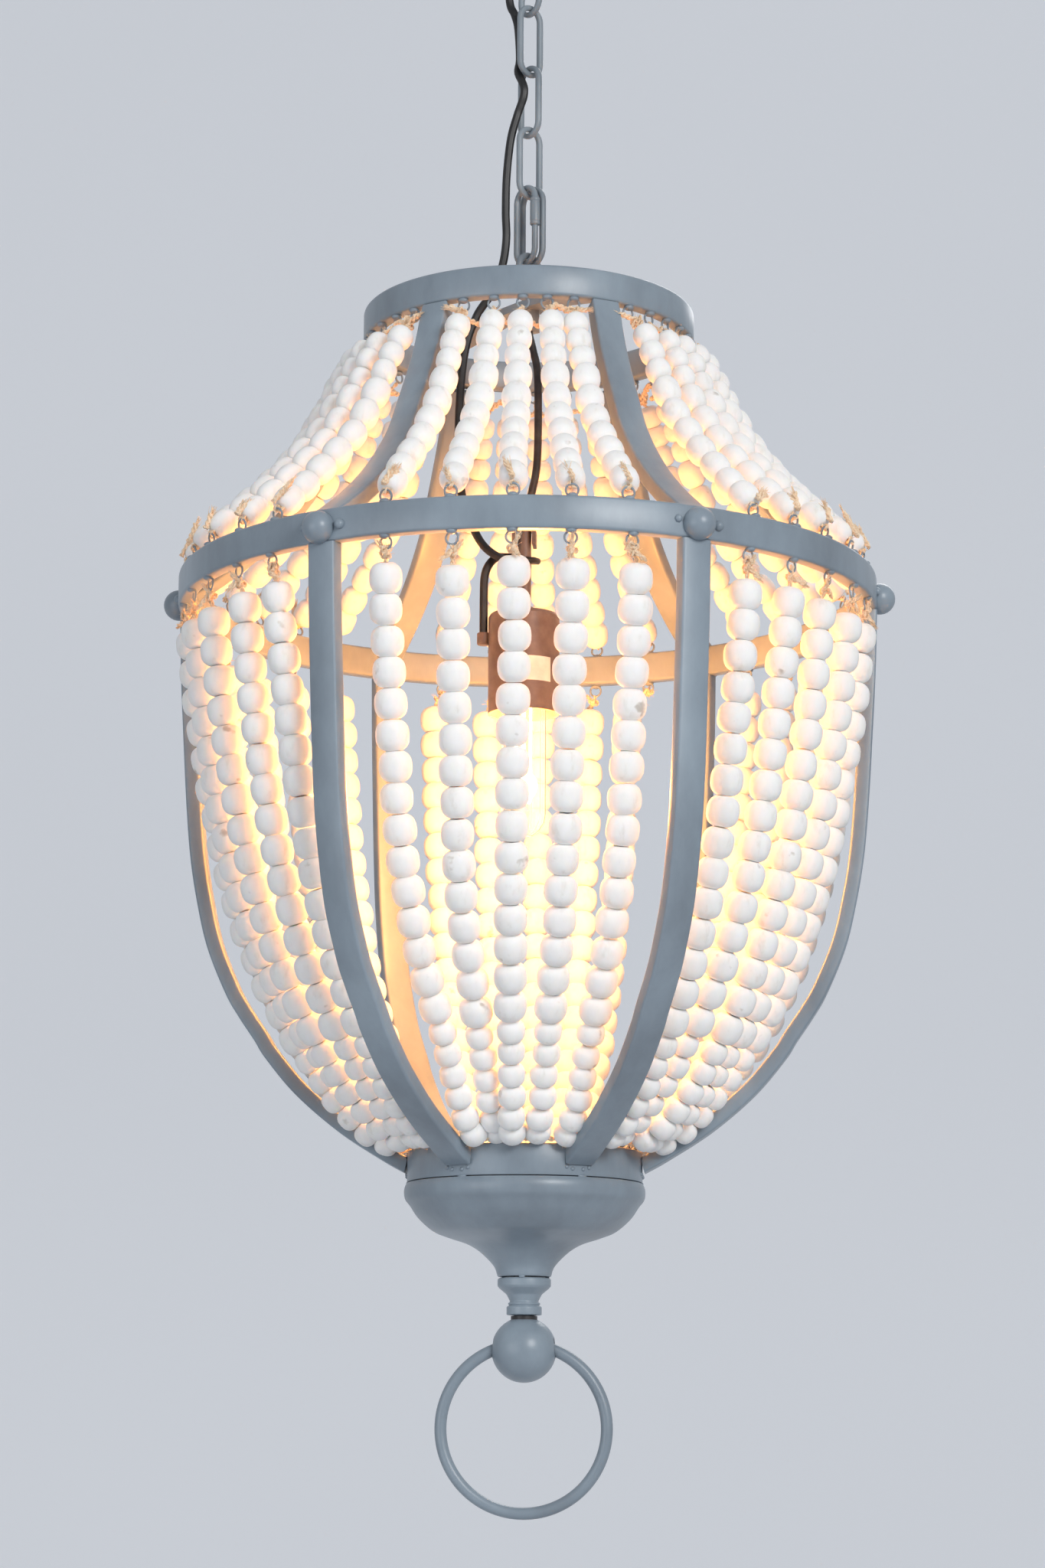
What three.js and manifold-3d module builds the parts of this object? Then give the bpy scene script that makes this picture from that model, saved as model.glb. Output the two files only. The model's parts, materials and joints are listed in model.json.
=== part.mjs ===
// A beaded chandelier: a painted steel cage of two rings and twelve curved ribs, dressed with
// strands of wooden beads on jute twine, hung on a chain and lit by one bulb inside.
// Millimetres, +Z up. The origin is the middle of the ceiling face, so everything hangs below it.
import * as THREE from 'three';
import { mergeVertices } from 'three/addons/utils/BufferGeometryUtils.js';
import Module from 'manifold-3d';

const wasm = await Module();
wasm.setup();

// Clearances
const GAP = 0.3;
const OVERRUN = 30;

// Ceiling rose, its mounting strap, its hook and its cord grip
const ROSE_RADIUS = 52;
const ROSE_HEIGHT = 28;
const ROSE_WALL = 2.4;
const ROSE_RIM_HEIGHT = 5;
const STRAP_MARGIN = 2.2;
const STRAP_WIDTH = 18;
const STRAP_THICKNESS = 2.5;
const HOOK_WIRE = 4.6;
const HOOK_LENGTH = 28;
const HOOK_WIDTH = 22;
const HOOK_SHANK_RADIUS = 4;
const HOOK_NUT_RADIUS = 9;
const HOOK_NUT_HEIGHT = 5;
const GRIP_RADIUS = 5.5;
const GRIP_LENGTH = 9;
const GRIP_FLANGE_RADIUS = 7.5;
const GRIP_FLANGE_HEIGHT = 2;

// Chain and screw link
const LINK_COUNT = 4;
const LINK_WIRE = 4.1;
const LINK_LENGTH = 51.1;
const LINK_WIDTH = 21.5;
const SCREW_LINK_WIRE = 4.2;
const SCREW_LINK_LENGTH = 56.2;
const SCREW_LINK_WIDTH = 22;
const TWIN_LINK_WIDTH = 24;
const SLEEVE_RADIUS = 3.5;
const SLEEVE_LENGTH = 19;
const GATE_GAP = 5;
const LINK_TURN = Math.PI / 4;

// Loop, bar and nut that carry the cage
const LOOP_WIRE = 4.5;
const LOOP_LENGTH = 35.5;
const LOOP_WIDTH = 22;
const LOOP_SHANK_RADIUS = 4;
const CROSSBAR_WIDTH = 18;
const CROSSBAR_THICKNESS = 5;
const CROSSBAR_RISE = 11;
const CROSSBAR_TURN = -Math.PI / 4;
const NUT_RADIUS = 8;
const NUT_HEIGHT = 13;

// Rings
const MID_RING_RADIUS = 225;
const MID_RING_HEIGHT = 20.5;
const TOP_RING_RADIUS = 108.2;
const TOP_RING_HEIGHT = 20;
const RING_THICKNESS = 10;
const UPPER_CAGE_HEIGHT = 180.8;
const COLLAR_RADIUS = 74;
const COLLAR_THICKNESS = 6;
const COLLAR_HEIGHT = 19.5;
const LOWER_CAGE_HEIGHT = 357;

// Ribs and knobs
const RIB_COUNT = 6;
const RIB_WIDTH = 19;
const RIB_THICKNESS = 9.5;
const RIB_FOOT = 13;
const RIB_LIP = 1.6;
const KNOB_RADIUS = 10;
const KNOB_STAND = 2;
const KNOB_DROP = 1.5;

// Bead strands
const STRANDS_PER_PANEL = 5;
const STRAND_STEP = 9.6 * Math.PI / 180;
const LARGE_BEAD_DIAMETER = 18.8;
const LARGE_BEAD_LENGTH = 18.7;
const SMALL_BEAD_DIAMETER = 15;
const SMALL_BEAD_LENGTH = 14.5;
const UPPER_SMALL_BEAD_COUNT = 3;
const LOWER_SMALL_BEAD_COUNT = 6;
const TWINE_DIAMETER = 2.6;
const UPPER_TWINE_LENGTH = 18;
const LOWER_TWINE_LENGTH = 10.5;
const TWINE_TAIL_LENGTH = 4;
const TWINE_LIFT = 1.1;
const NECK_SHARE = 0.24;

// Bowl, finials and pull ring
const BOWL_RADIUS = 75.8;
const BOWL_HEIGHT = 57.8;
const BOWL_WALL = 2;
const BOWL_NECK_RADIUS = 16.9;
const FINIAL_HEIGHT = 23.9;
const FINIAL_RADIUS = 16.8;
const FINIAL_WAIST_RADIUS = 9;
const FINIAL_FOOT_RADIUS = 11;
const FINIAL_BORE_RADIUS = 4;
const TIE_ROD_RADIUS = 3.2;
const TIE_NUT_RADIUS = 7;
const TIE_NUT_HEIGHT = 5;
const BALL_RADIUS = 20;
const BALL_GAP = 1.6;
const PULL_RING_WIRE = 7.5;
const PULL_RING_DIAMETER = 111;

// Lampholder and bulb
const HANGER_ROD_RADIUS = 2.6;
const HANGER_ROD_LENGTH = 141.4;
const HANGER_ROD_BOW = 6;
const HOLDER_SHIFT = -2.2;
const BRACKET_WIDTH = 14;
const BRACKET_SPAN = 15.5;
const BRACKET_HEIGHT = 13;
const BRACKET_THICKNESS = 2.5;
const STEM_RADIUS = 4.5;
const STEM_LENGTH = 58.1;
const ENTRY_RADIUS = 4.2;
const ENTRY_LENGTH = 8;
const ENTRY_DROP = 12;
const HOLDER_RADIUS = 23;
const HOLDER_HEIGHT = 66;
const HOLDER_WALL = 2;
const INSERT_RADIUS = 18;
const INSERT_HEIGHT = 34;
const CAP_RADIUS = 13.2;
const CAP_HEIGHT = 26;
const CAP_WALL = 1;
const CONTACT_RADIUS = 4;
const CONTACT_HEIGHT = 1.6;
const BULB_RADIUS = 15;
const BULB_LENGTH = 128;
const BULB_NECK_RADIUS = 11;
const BULB_NECK_LENGTH = 14;
const BULB_WALL = 1;
const FILAMENT_LENGTH = 66;
const FILAMENT_SPREAD = 9;
const FILAMENT_WIRE = 1.6;
const FILAMENT_LEGS = 4;

// Cord
const CORD_DIAMETER = 5.4;
const CORD_REACH = 46;
const CORD_DEPTH = 11;
const CORD_STEPS = 64;
const CORD_SIDES = 8;

// Heights, worked out downwards from the ceiling
const hookBottom = -ROSE_HEIGHT - HOOK_LENGTH + HOOK_WIRE / 2;
const linkDrop = LINK_LENGTH - 2 * LINK_WIRE - GAP;
const firstLinkTop = hookBottom + (HOOK_WIRE + LINK_WIRE) / 2 + GAP;
const lastLinkBottom = firstLinkTop - (LINK_COUNT - 1) * linkDrop - (LINK_LENGTH - LINK_WIRE);
const twinStep = SLEEVE_RADIUS + LINK_WIRE / 2 + GAP;
const screwLinkTop = lastLinkBottom + pairSeat(LINK_WIDTH, LINK_WIRE);
const screwLinkBottom = screwLinkTop - (SCREW_LINK_LENGTH - SCREW_LINK_WIRE);
const loopTop = screwLinkBottom + pairSeat(LOOP_WIDTH, LOOP_WIRE);
const loopBottom = loopTop - (LOOP_LENGTH - LOOP_WIRE);
const crossbarTop = loopBottom - LOOP_WIRE / 2 - GAP;
const crossbarBottom = crossbarTop - CROSSBAR_THICKNESS;
const topRingMiddle = crossbarTop - CROSSBAR_RISE - TOP_RING_HEIGHT / 2 + CROSSBAR_THICKNESS / 2;
const midRingMiddle = topRingMiddle - UPPER_CAGE_HEIGHT;
const topRingBottom = topRingMiddle - TOP_RING_HEIGHT / 2;
const midRingTop = midRingMiddle + MID_RING_HEIGHT / 2;
const midRingBottom = midRingMiddle - MID_RING_HEIGHT / 2;
const collarTop = midRingMiddle - LOWER_CAGE_HEIGHT;
const collarBottom = collarTop - COLLAR_HEIGHT;
const bowlTop = collarBottom - GAP;
const bowlBottom = bowlTop - BOWL_HEIGHT;
const finialTop = bowlBottom - GAP;
const finialBottom = finialTop - FINIAL_HEIGHT;
const ballMiddle = finialBottom - BALL_GAP - BALL_RADIUS;
const nutTop = crossbarBottom - GAP;
const hangerRodTop = nutTop - NUT_HEIGHT / 2;
const hangerRodBottom = hangerRodTop - HANGER_ROD_LENGTH;
const bracketTop = hangerRodBottom + BRACKET_THICKNESS;
const holderTop = bracketTop - STEM_LENGTH - GAP;
const entryTop = holderTop - ENTRY_DROP;
const entryX = HOLDER_WALL / 2 - HOLDER_RADIUS - ENTRY_RADIUS;

// How far the wires of the screw link and its twin lie, side by side, inside the bow of a loop.
function pairSeat(width, wire) {
  const bow = (width - wire) / 2;
  const reach = bow - (wire + SCREW_LINK_WIRE) / 2 - GAP;
  return bow - Math.sqrt(reach ** 2 - (twinStep / 2) ** 2);
}

// Materials
const paint = () => new THREE.MeshStandardMaterial({ color: 0x87909b, roughness: 0.45, metalness: 0.2 });
const chainPaint = () => new THREE.MeshStandardMaterial({ color: 0x7b828d, roughness: 0.4, metalness: 0.3 });
const wood = () => new THREE.MeshStandardMaterial({ color: 0xf0eeea, roughness: 0.8, metalness: 0 });
const brown = () => new THREE.MeshStandardMaterial({ color: 0x6a5c56, roughness: 0.6, metalness: 0.1 });
const black = () => new THREE.MeshStandardMaterial({ color: 0x141416, roughness: 0.5, metalness: 0 });
const porcelain = () => new THREE.MeshStandardMaterial({ color: 0xe8e2d8, roughness: 0.4, metalness: 0 });
const nickel = () => new THREE.MeshStandardMaterial({ color: 0xb9bcc0, roughness: 0.3, metalness: 0.9 });
const glass = () => new THREE.MeshStandardMaterial({
  color: 0xfff2dc, roughness: 0.05, metalness: 0, transparent: true, opacity: 0.35,
});
const glowing = () => new THREE.MeshStandardMaterial({ color: 0xffd9a0, emissive: 0xffc070 });

// Geometry helpers

// Six times the signed volume, so that a body whose faces point in can be turned round.
function signedVolume(geometry) {
  const index = geometry.index.array;
  const position = geometry.attributes.position;
  const a = new THREE.Vector3();
  const b = new THREE.Vector3();
  const c = new THREE.Vector3();
  let total = 0;
  for (let i = 0; i < index.length; i += 3) {
    a.fromBufferAttribute(position, index[i]);
    b.fromBufferAttribute(position, index[i + 1]);
    c.fromBufferAttribute(position, index[i + 2]);
    total += a.dot(b.cross(c));
  }
  return total;
}

// Keeps position alone, merges the shared vertices, drops flat triangles and faces outwards.
function closed(geometry) {
  const bare = new THREE.BufferGeometry();
  bare.setAttribute('position', geometry.attributes.position.clone());
  if (geometry.index) bare.setIndex(Array.from(geometry.index.array));
  const merged = mergeVertices(bare);
  const kept = [];
  for (let i = 0; i < merged.index.count; i += 3) {
    const [a, b, c] = merged.index.array.slice(i, i + 3);
    if (a !== b && b !== c && c !== a) kept.push(a, b, c);
  }
  merged.setIndex(kept);
  if (signedVolume(merged) < 0) {
    for (let i = 0; i < kept.length; i += 3) [kept[i], kept[i + 1]] = [kept[i + 1], kept[i]];
    merged.setIndex(kept);
  }
  return merged;
}

function solid(geometry) {
  const body = closed(geometry);
  const vertProperties = new Float32Array(body.attributes.position.array);
  const triVerts = new Uint32Array(body.index.array);
  return new wasm.Manifold(new wasm.Mesh({ numProp: 3, vertProperties, triVerts }));
}

function unwrap(manifold) {
  const mesh = manifold.getMesh();
  const geometry = new THREE.BufferGeometry();
  geometry.setAttribute('position', new THREE.BufferAttribute(mesh.vertProperties, 3));
  geometry.setIndex(Array.from(mesh.triVerts));
  return geometry;
}

function add(...geometries) {
  return unwrap(geometries.map(solid).reduce((whole, piece) => whole.add(piece)));
}

function cut(geometry, ...tools) {
  return unwrap(tools.map(solid).reduce((whole, tool) => whole.subtract(tool), solid(geometry)));
}

// A body turned about Z from a profile of [radius, height] pairs.
function turned(profile, segments, closesOnItself = false) {
  const points = profile.map(([radius, height]) => new THREE.Vector2(radius, height));
  if (closesOnItself) points.push(points[0].clone());
  return closed(new THREE.LatheGeometry(points, segments).rotateX(Math.PI / 2));
}

function band(outer, inner, top, bottom, segments) {
  return turned([[outer, bottom], [outer, top], [inner, top], [inner, bottom]], segments, true);
}

function rod(radius, top, bottom, segments) {
  return turned([[0, bottom], [radius, bottom], [radius, top], [0, top]], segments);
}

// The outline of a chain link's wire, as a closed curve in the XZ plane.
function stadium(width, length, wire, top) {
  const radius = (width - wire) / 2;
  const straight = length - width;
  const upper = top - radius;
  const lower = upper - straight;
  const path = new THREE.CurvePath();
  const arc = (height, from) => {
    const points = [];
    const turns = 6;
    for (let i = 0; i <= turns; i += 1) {
      const angle = from + Math.PI * i / turns;
      points.push(new THREE.Vector3(radius * Math.cos(angle), 0, height + radius * Math.sin(angle)));
    }
    return points;
  };
  const points = [...arc(upper, 0), ...arc(lower, Math.PI)];
  points.forEach((point, i) => {
    path.add(new THREE.LineCurve3(point, points[(i + 1) % points.length]));
  });
  return path;
}

// A tube of square or round section that follows closed corners and has no ends.
function loopTube(path, radius, sides) {
  const corners = path.curves.map((piece) => piece.v1.clone());
  const positions = [];
  const index = [];
  const axis = new THREE.Vector3(0, 1, 0);
  corners.forEach((corner, i) => {
    const before = corners[(i + corners.length - 1) % corners.length];
    const after = corners[(i + 1) % corners.length];
    const along = after.clone().sub(before).normalize();
    const outward = along.clone().cross(axis);
    for (let k = 0; k < sides; k += 1) {
      const angle = 2 * Math.PI * (k + 1 / 2) / sides;
      const point = corner.clone()
        .addScaledVector(outward, radius * Math.cos(angle))
        .addScaledVector(axis, radius * Math.sin(angle));
      positions.push(...point.toArray());
    }
  });
  for (let i = 0; i < corners.length; i += 1) {
    for (let k = 0; k < sides; k += 1) {
      const a = i * sides + k;
      const b = i * sides + (k + 1) % sides;
      const c = ((i + 1) % corners.length) * sides + k;
      const d = ((i + 1) % corners.length) * sides + (k + 1) % sides;
      index.push(a, c, b, b, c, d);
    }
  }
  const geometry = new THREE.BufferGeometry();
  geometry.setAttribute('position', new THREE.Float32BufferAttribute(positions, 3));
  geometry.setIndex(index);
  return closed(geometry);
}

function roundSection(radius, sides) {
  const points = [];
  for (let i = 0; i < sides; i += 1) {
    const angle = 2 * Math.PI * i / sides;
    points.push(new THREE.Vector2(radius * Math.cos(angle), radius * Math.sin(angle)));
  }
  return new THREE.Shape(points);
}

function openTube(curve, radius, sides, steps) {
  const section = roundSection(radius, sides);
  return closed(new THREE.ExtrudeGeometry(section, { extrudePath: curve, steps, bevelEnabled: false }));
}

// A plate whose outline is drawn in the XZ plane, centred on Y.
function plate(outline, width) {
  const shape = new THREE.Shape(outline.map(([x, z]) => new THREE.Vector2(x, z)));
  const body = new THREE.ExtrudeGeometry(shape, { depth: width, bevelEnabled: false });
  return closed(body.translate(0, 0, -width / 2).rotateX(Math.PI / 2));
}

// Points [radius, height] along a smooth curve between two ends, from a table of shares.
function swept(start, end, shares, count) {
  const knots = shares.map(([r, z]) => new THREE.Vector2(
    start[0] + (end[0] - start[0]) * r,
    start[1] + (end[1] - start[1]) * z,
  ));
  return new THREE.SplineCurve(knots).getSpacedPoints(count).map((point) => [point.x, point.y]);
}

// The same line moved sideways by a distance, to the right of its direction.
function shifted(line, distance) {
  return line.map(([r, z], i) => {
    const before = line[Math.max(i - 1, 0)];
    const after = line[Math.min(i + 1, line.length - 1)];
    const along = new THREE.Vector2(after[0] - before[0], after[1] - before[1]).normalize();
    return [r + along.y * distance, z - along.x * distance];
  });
}

// Parts

const chandelier = new THREE.Group();
chandelier.name = 'beaded_chandelier';

function place(name, geometry, material, parent = chandelier) {
  const mesh = new THREE.Mesh(geometry, material);
  mesh.name = name;
  parent.add(mesh);
  return mesh;
}

function turnedGroup(angle) {
  const group = new THREE.Group();
  group.rotation.z = angle;
  chandelier.add(group);
  return group;
}

// Ceiling rose: a shallow dish whose flat rim meets the ceiling.
function ceilingRose() {
  const inner = ROSE_RADIUS - ROSE_WALL;
  const shoulder = ROSE_RADIUS * 0.8;
  const outside = turned([
    [0, -ROSE_HEIGHT], [ROSE_RADIUS / 3, -ROSE_HEIGHT], [shoulder, -ROSE_HEIGHT * 0.7],
    [ROSE_RADIUS, -ROSE_RIM_HEIGHT], [ROSE_RADIUS, 0], [0, 0],
  ], 24);
  const hollow = turned([
    [0, ROSE_WALL - ROSE_HEIGHT], [ROSE_RADIUS / 3, ROSE_WALL - ROSE_HEIGHT],
    [shoulder - ROSE_WALL, ROSE_WALL - ROSE_HEIGHT * 0.7], [inner - ROSE_WALL, -ROSE_RIM_HEIGHT],
    [inner - ROSE_WALL, OVERRUN], [0, OVERRUN],
  ], 24);
  const hookHole = rod(HOOK_SHANK_RADIUS + GAP, 0, -ROSE_HEIGHT - OVERRUN, 10);
  const cordHole = rod(GRIP_RADIUS + GAP, 0, -ROSE_HEIGHT - OVERRUN, 12).translate(gripX, gripY, 0);
  return cut(outside, hollow, hookHole, cordHole);
}

// Strap: fixed to the ceiling first, it takes the weight from the hook's shank.
function mountingStrap() {
  const length = 2 * (ROSE_RADIUS - 2 * ROSE_WALL - STRAP_MARGIN);
  const strap = new THREE.BoxGeometry(STRAP_WIDTH, length, STRAP_THICKNESS);
  return closed(strap.translate(0, 0, -STRAP_THICKNESS / 2));
}

// Hook: a closed eye on a shank that passes up through the rose, with its nut made on it.
function ceilingHook() {
  const eyeTop = -ROSE_HEIGHT - GAP - HOOK_WIRE / 2;
  const eye = loopTube(stadium(HOOK_WIDTH, HOOK_LENGTH - GAP, HOOK_WIRE, eyeTop), HOOK_WIRE / 2, 8);
  const shankTop = -STRAP_THICKNESS - GAP;
  const shank = rod(HOOK_SHANK_RADIUS, shankTop, eyeTop - HOOK_WIRE / 4, 12);
  const nutBottom = ROSE_WALL - ROSE_HEIGHT + GAP;
  const nut = rod(HOOK_NUT_RADIUS, nutBottom + HOOK_NUT_HEIGHT, nutBottom, 6);
  return add(eye, shank, nut);
}

// Grip: the bushing that the cord leaves the rose through.
function cordGrip() {
  const inside = ROSE_WALL - ROSE_HEIGHT;
  const flangeTop = -ROSE_HEIGHT - GAP;
  const flangeBottom = flangeTop - GRIP_FLANGE_HEIGHT;
  const body = turned([
    [0, flangeTop - GRIP_LENGTH], [GRIP_RADIUS, flangeTop - GRIP_LENGTH],
    [GRIP_FLANGE_RADIUS, flangeBottom], [GRIP_FLANGE_RADIUS, flangeTop],
    [GRIP_RADIUS, flangeTop], [GRIP_RADIUS, inside + GRIP_FLANGE_HEIGHT], [0, inside + GRIP_FLANGE_HEIGHT],
  ], 12);
  return body.translate(gripX, gripY, 0);
}

function chainLink(number) {
  const top = firstLinkTop - number * linkDrop;
  return loopTube(stadium(LINK_WIDTH, LINK_LENGTH, LINK_WIRE, top), LINK_WIRE / 2, 6);
}

const sleeveX = (SCREW_LINK_WIDTH - SCREW_LINK_WIRE) / 2;
const sleeveTop = screwLinkTop - sleeveX;
const sleeveBottom = sleeveTop - SLEEVE_LENGTH;

// Screw link: its gate side is open for a short way, which the threaded sleeve bridges.
function screwLink() {
  const whole = loopTube(
    stadium(SCREW_LINK_WIDTH, SCREW_LINK_LENGTH, SCREW_LINK_WIRE, screwLinkTop),
    SCREW_LINK_WIRE / 2,
    8,
  );
  const gate = new THREE.BoxGeometry(2 * SLEEVE_RADIUS, 2 * SLEEVE_RADIUS, GATE_GAP);
  gate.translate(sleeveX, 0, sleeveTop - GATE_GAP);
  return cut(whole, gate).translate(0, -twinStep / 2, 0);
}

// Twin link: a plain link that hangs beside the screw link between the same two neighbours.
function twinLink() {
  const path = stadium(TWIN_LINK_WIDTH, SCREW_LINK_LENGTH, SCREW_LINK_WIRE, screwLinkTop);
  return loopTube(path, LINK_WIRE / 2, 6).translate(0, twinStep / 2, 0);
}

function screwLinkSleeve() {
  const outside = rod(SLEEVE_RADIUS, sleeveTop, sleeveBottom, 6);
  const bore = rod(SCREW_LINK_WIRE / 2 + GAP, sleeveTop + OVERRUN, sleeveBottom - OVERRUN, 8);
  return cut(outside, bore).translate(sleeveX, -twinStep / 2, 0);
}

// Loop: an eye whose shank goes through the crossbar into the long nut below it.
function hangingLoop() {
  const eye = loopTube(stadium(LOOP_WIDTH, LOOP_LENGTH, LOOP_WIRE, loopTop), LOOP_WIRE / 2, 8);
  const shankBottom = nutTop - NUT_HEIGHT / 2 + GAP;
  const shank = rod(LOOP_SHANK_RADIUS, loopBottom + LOOP_WIRE / 4, shankBottom, 12);
  return add(eye, shank);
}

// Crossbar: an arched strap between the inner faces of the top ring, with a hole for the shank.
function crossbar() {
  const reach = TOP_RING_RADIUS - RING_THICKNESS - 3 * GAP;
  const archShares = [[-1, 0], [-0.72, 0.35], [-0.3, 0.92], [0, 1], [0.3, 0.92], [0.72, 0.35], [1, 0]];
  const upper = archShares.map(([x, z]) => [x * reach, crossbarTop - CROSSBAR_RISE * (1 - z)]);
  const lower = upper.map(([x, z]) => [x, z - CROSSBAR_THICKNESS]).reverse();
  const strap = plate([...upper, ...lower], CROSSBAR_WIDTH);
  const hole = rod(LOOP_SHANK_RADIUS + GAP, crossbarTop + OVERRUN, crossbarBottom - OVERRUN, 12);
  const outside = band(2 * TOP_RING_RADIUS, reach, crossbarTop + OVERRUN, topRingBottom, 36);
  return cut(strap, hole, outside);
}

// Nut: the loop's shank screws in from above and the thinner hanger rod from below.
function crossbarNut() {
  const hex = rod(NUT_RADIUS, nutTop, nutTop - NUT_HEIGHT, 6);
  const shankBore = rod(LOOP_SHANK_RADIUS + GAP, nutTop + OVERRUN, hangerRodTop, 12);
  const rodBore = rod(HANGER_ROD_RADIUS + GAP, nutTop, nutTop - NUT_HEIGHT - OVERRUN, 12);
  return cut(hex, shankBore, rodBore);
}

function topRing() {
  const top = topRingMiddle + TOP_RING_HEIGHT / 2;
  return band(TOP_RING_RADIUS, TOP_RING_RADIUS - RING_THICKNESS, top, topRingBottom, 36);
}

function midRing(extra = 0) {
  const outer = MID_RING_RADIUS + extra;
  const inner = MID_RING_RADIUS - RING_THICKNESS - extra;
  return band(outer, inner, midRingTop + extra, midRingBottom - extra, 48);
}

function collarRing(extra = 0) {
  const outer = COLLAR_RADIUS + extra;
  const inner = COLLAR_RADIUS - COLLAR_THICKNESS - extra;
  return band(outer, inner, collarTop + extra, collarBottom - extra, 36);
}

// Upper rib: a flat bar that hangs under the top ring and flares out onto the mid ring.
function upperRib() {
  const flareShares = [[0, 0], [0.1, 0.214], [0.241, 0.437], [0.346, 0.585], [0.528, 0.745],
    [0.734, 0.875], [0.913, 0.967], [1.04, 1.025]];
  const start = [TOP_RING_RADIUS, topRingBottom - GAP];
  const end = [MID_RING_RADIUS - RING_THICKNESS / 3, midRingTop];
  const outer = swept(start, end, flareShares, 10);
  const inner = shifted(outer, RIB_THICKNESS);
  inner[0] = [start[0] - RIB_THICKNESS, start[1]];
  const outside = band(2 * MID_RING_RADIUS, end[0], midRingTop + OVERRUN, midRingBottom - OVERRUN, 48);
  return cut(plate([...outer, ...inner.reverse()], RIB_WIDTH), midRing(GAP), outside);
}

// Lower rib: the same bar, which drops from the mid ring and curls in onto the collar.
function lowerRib() {
  const curlShares = [[0, 0], [0.01, 0.11], [0.028, 0.235], [0.046, 0.347], [0.069, 0.444], [0.104, 0.527],
    [0.151, 0.605], [0.232, 0.686], [0.291, 0.728], [0.359, 0.77], [0.403, 0.8], [0.533, 0.866],
    [0.718, 0.93], [0.9, 0.982], [1, 1.01]];
  const start = [MID_RING_RADIUS, midRingBottom - GAP];
  const end = [COLLAR_RADIUS + RIB_LIP, collarTop - RIB_FOOT];
  const outer = swept(start, end, curlShares, 10);
  const inner = shifted(outer, RIB_THICKNESS);
  inner[0] = [start[0] - RIB_THICKNESS, start[1]];
  const bar = plate([...outer, ...inner.reverse()], RIB_WIDTH);
  const inside = band(COLLAR_RADIUS + GAP, 1, collarTop + GAP, collarBottom - OVERRUN, 36);
  return cut(bar, inside);
}

// Knob: a ball set against the outer face of the mid ring at each rib.
function knob() {
  const ball = new THREE.SphereGeometry(KNOB_RADIUS, 8, 6);
  ball.translate(MID_RING_RADIUS + KNOB_STAND, 0, midRingMiddle - KNOB_DROP);
  const behind = rod(MID_RING_RADIUS + GAP, midRingTop + OVERRUN, midRingBottom - OVERRUN, 48);
  return cut(ball, behind);
}

// One strand of beads: a three-sided body that swells at each bead, ends in twine and turns a
// little from ring to ring. Its first bead starts after a lead of bare twine.
function strand(line, beads, lead, azimuth) {
  const curve = new THREE.SplineCurve(line.map(([r, z]) => new THREE.Vector2(r, z)));
  const length = curve.getLength();
  const twineRadius = TWINE_DIAMETER / 2;
  let at = lead;
  const rings = [[0, twineRadius], [at, twineRadius]];
  beads.forEach((bead, i) => {
    const next = beads[Math.min(i + 1, beads.length - 1)];
    const neck = NECK_SHARE * Math.min(bead.diameter, next.diameter);
    rings.push([at + bead.length / 2, bead.diameter / 2]);
    rings.push([at + bead.length, i === beads.length - 1 ? twineRadius : neck]);
    at += bead.length;
  });
  rings.push([length, twineRadius]);
  const positions = [];
  rings.forEach(([distance, radius], i) => {
    const share = Math.min(distance / length, 1);
    const point = curve.getPointAt(share);
    const along = curve.getTangentAt(share);
    for (let k = 0; k < 3; k += 1) {
      const angle = Math.PI * (2 * k / 3 + i / 6);
      const across = radius * Math.cos(angle);
      positions.push(point.x - along.y * across, radius * Math.sin(angle), point.y + along.x * across);
    }
  });
  const last = 3 * (rings.length - 1);
  const index = [0, 1, 2, last, last + 2, last + 1];
  for (let i = 0; i < last; i += 3) {
    for (let k = 0; k < 3; k += 1) {
      const a = i + k;
      const b = i + (k + 1) % 3;
      index.push(a, a + 3, b, b, a + 3, b + 3);
    }
  }
  const geometry = new THREE.BufferGeometry();
  geometry.setAttribute('position', new THREE.Float32BufferAttribute(positions, 3));
  geometry.setIndex(index);
  return closed(geometry).rotateZ(azimuth);
}

// How many large beads fill what the small beads and the bare twine leave of a line.
function beadList(line, lead, smallCount, smallFirst) {
  const length = new THREE.SplineCurve(line.map(([r, z]) => new THREE.Vector2(r, z))).getLength();
  const free = length - lead - TWINE_TAIL_LENGTH - smallCount * SMALL_BEAD_LENGTH;
  const largeCount = Math.max(Math.floor(free / LARGE_BEAD_LENGTH), 1);
  const small = Array(smallCount).fill({ length: SMALL_BEAD_LENGTH, diameter: SMALL_BEAD_DIAMETER });
  const large = Array(largeCount).fill({ length: LARGE_BEAD_LENGTH, diameter: LARGE_BEAD_DIAMETER });
  return smallFirst ? [...small, ...large] : [...large, ...small];
}

// A panel: its strands side by side, with the running twine that ties their tops together.
function beadPanel(line, beads, lead) {
  const half = (STRANDS_PER_PANEL - 1) / 2;
  const strands = [];
  for (let i = -half; i <= half; i += 1) strands.push(strand(line, beads, lead, i * STRAND_STEP));
  const curve = new THREE.SplineCurve(line.map(([r, z]) => new THREE.Vector2(r, z)));
  const knot = curve.getPointAt(lead * 0.6 / curve.getLength());
  const twine = [];
  for (let i = -half; i <= half; i += 1) {
    const angle = i * STRAND_STEP;
    twine.push(new THREE.Vector3(knot.x * Math.cos(angle), knot.x * Math.sin(angle), knot.y));
  }
  const path = new THREE.CurvePath();
  for (let i = 1; i < twine.length; i += 1) path.add(new THREE.LineCurve3(twine[i - 1], twine[i]));
  const tie = openTube(path, TWINE_DIAMETER / 3, 3, STRANDS_PER_PANEL - 1);
  return add(...strands, tie);
}

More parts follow.
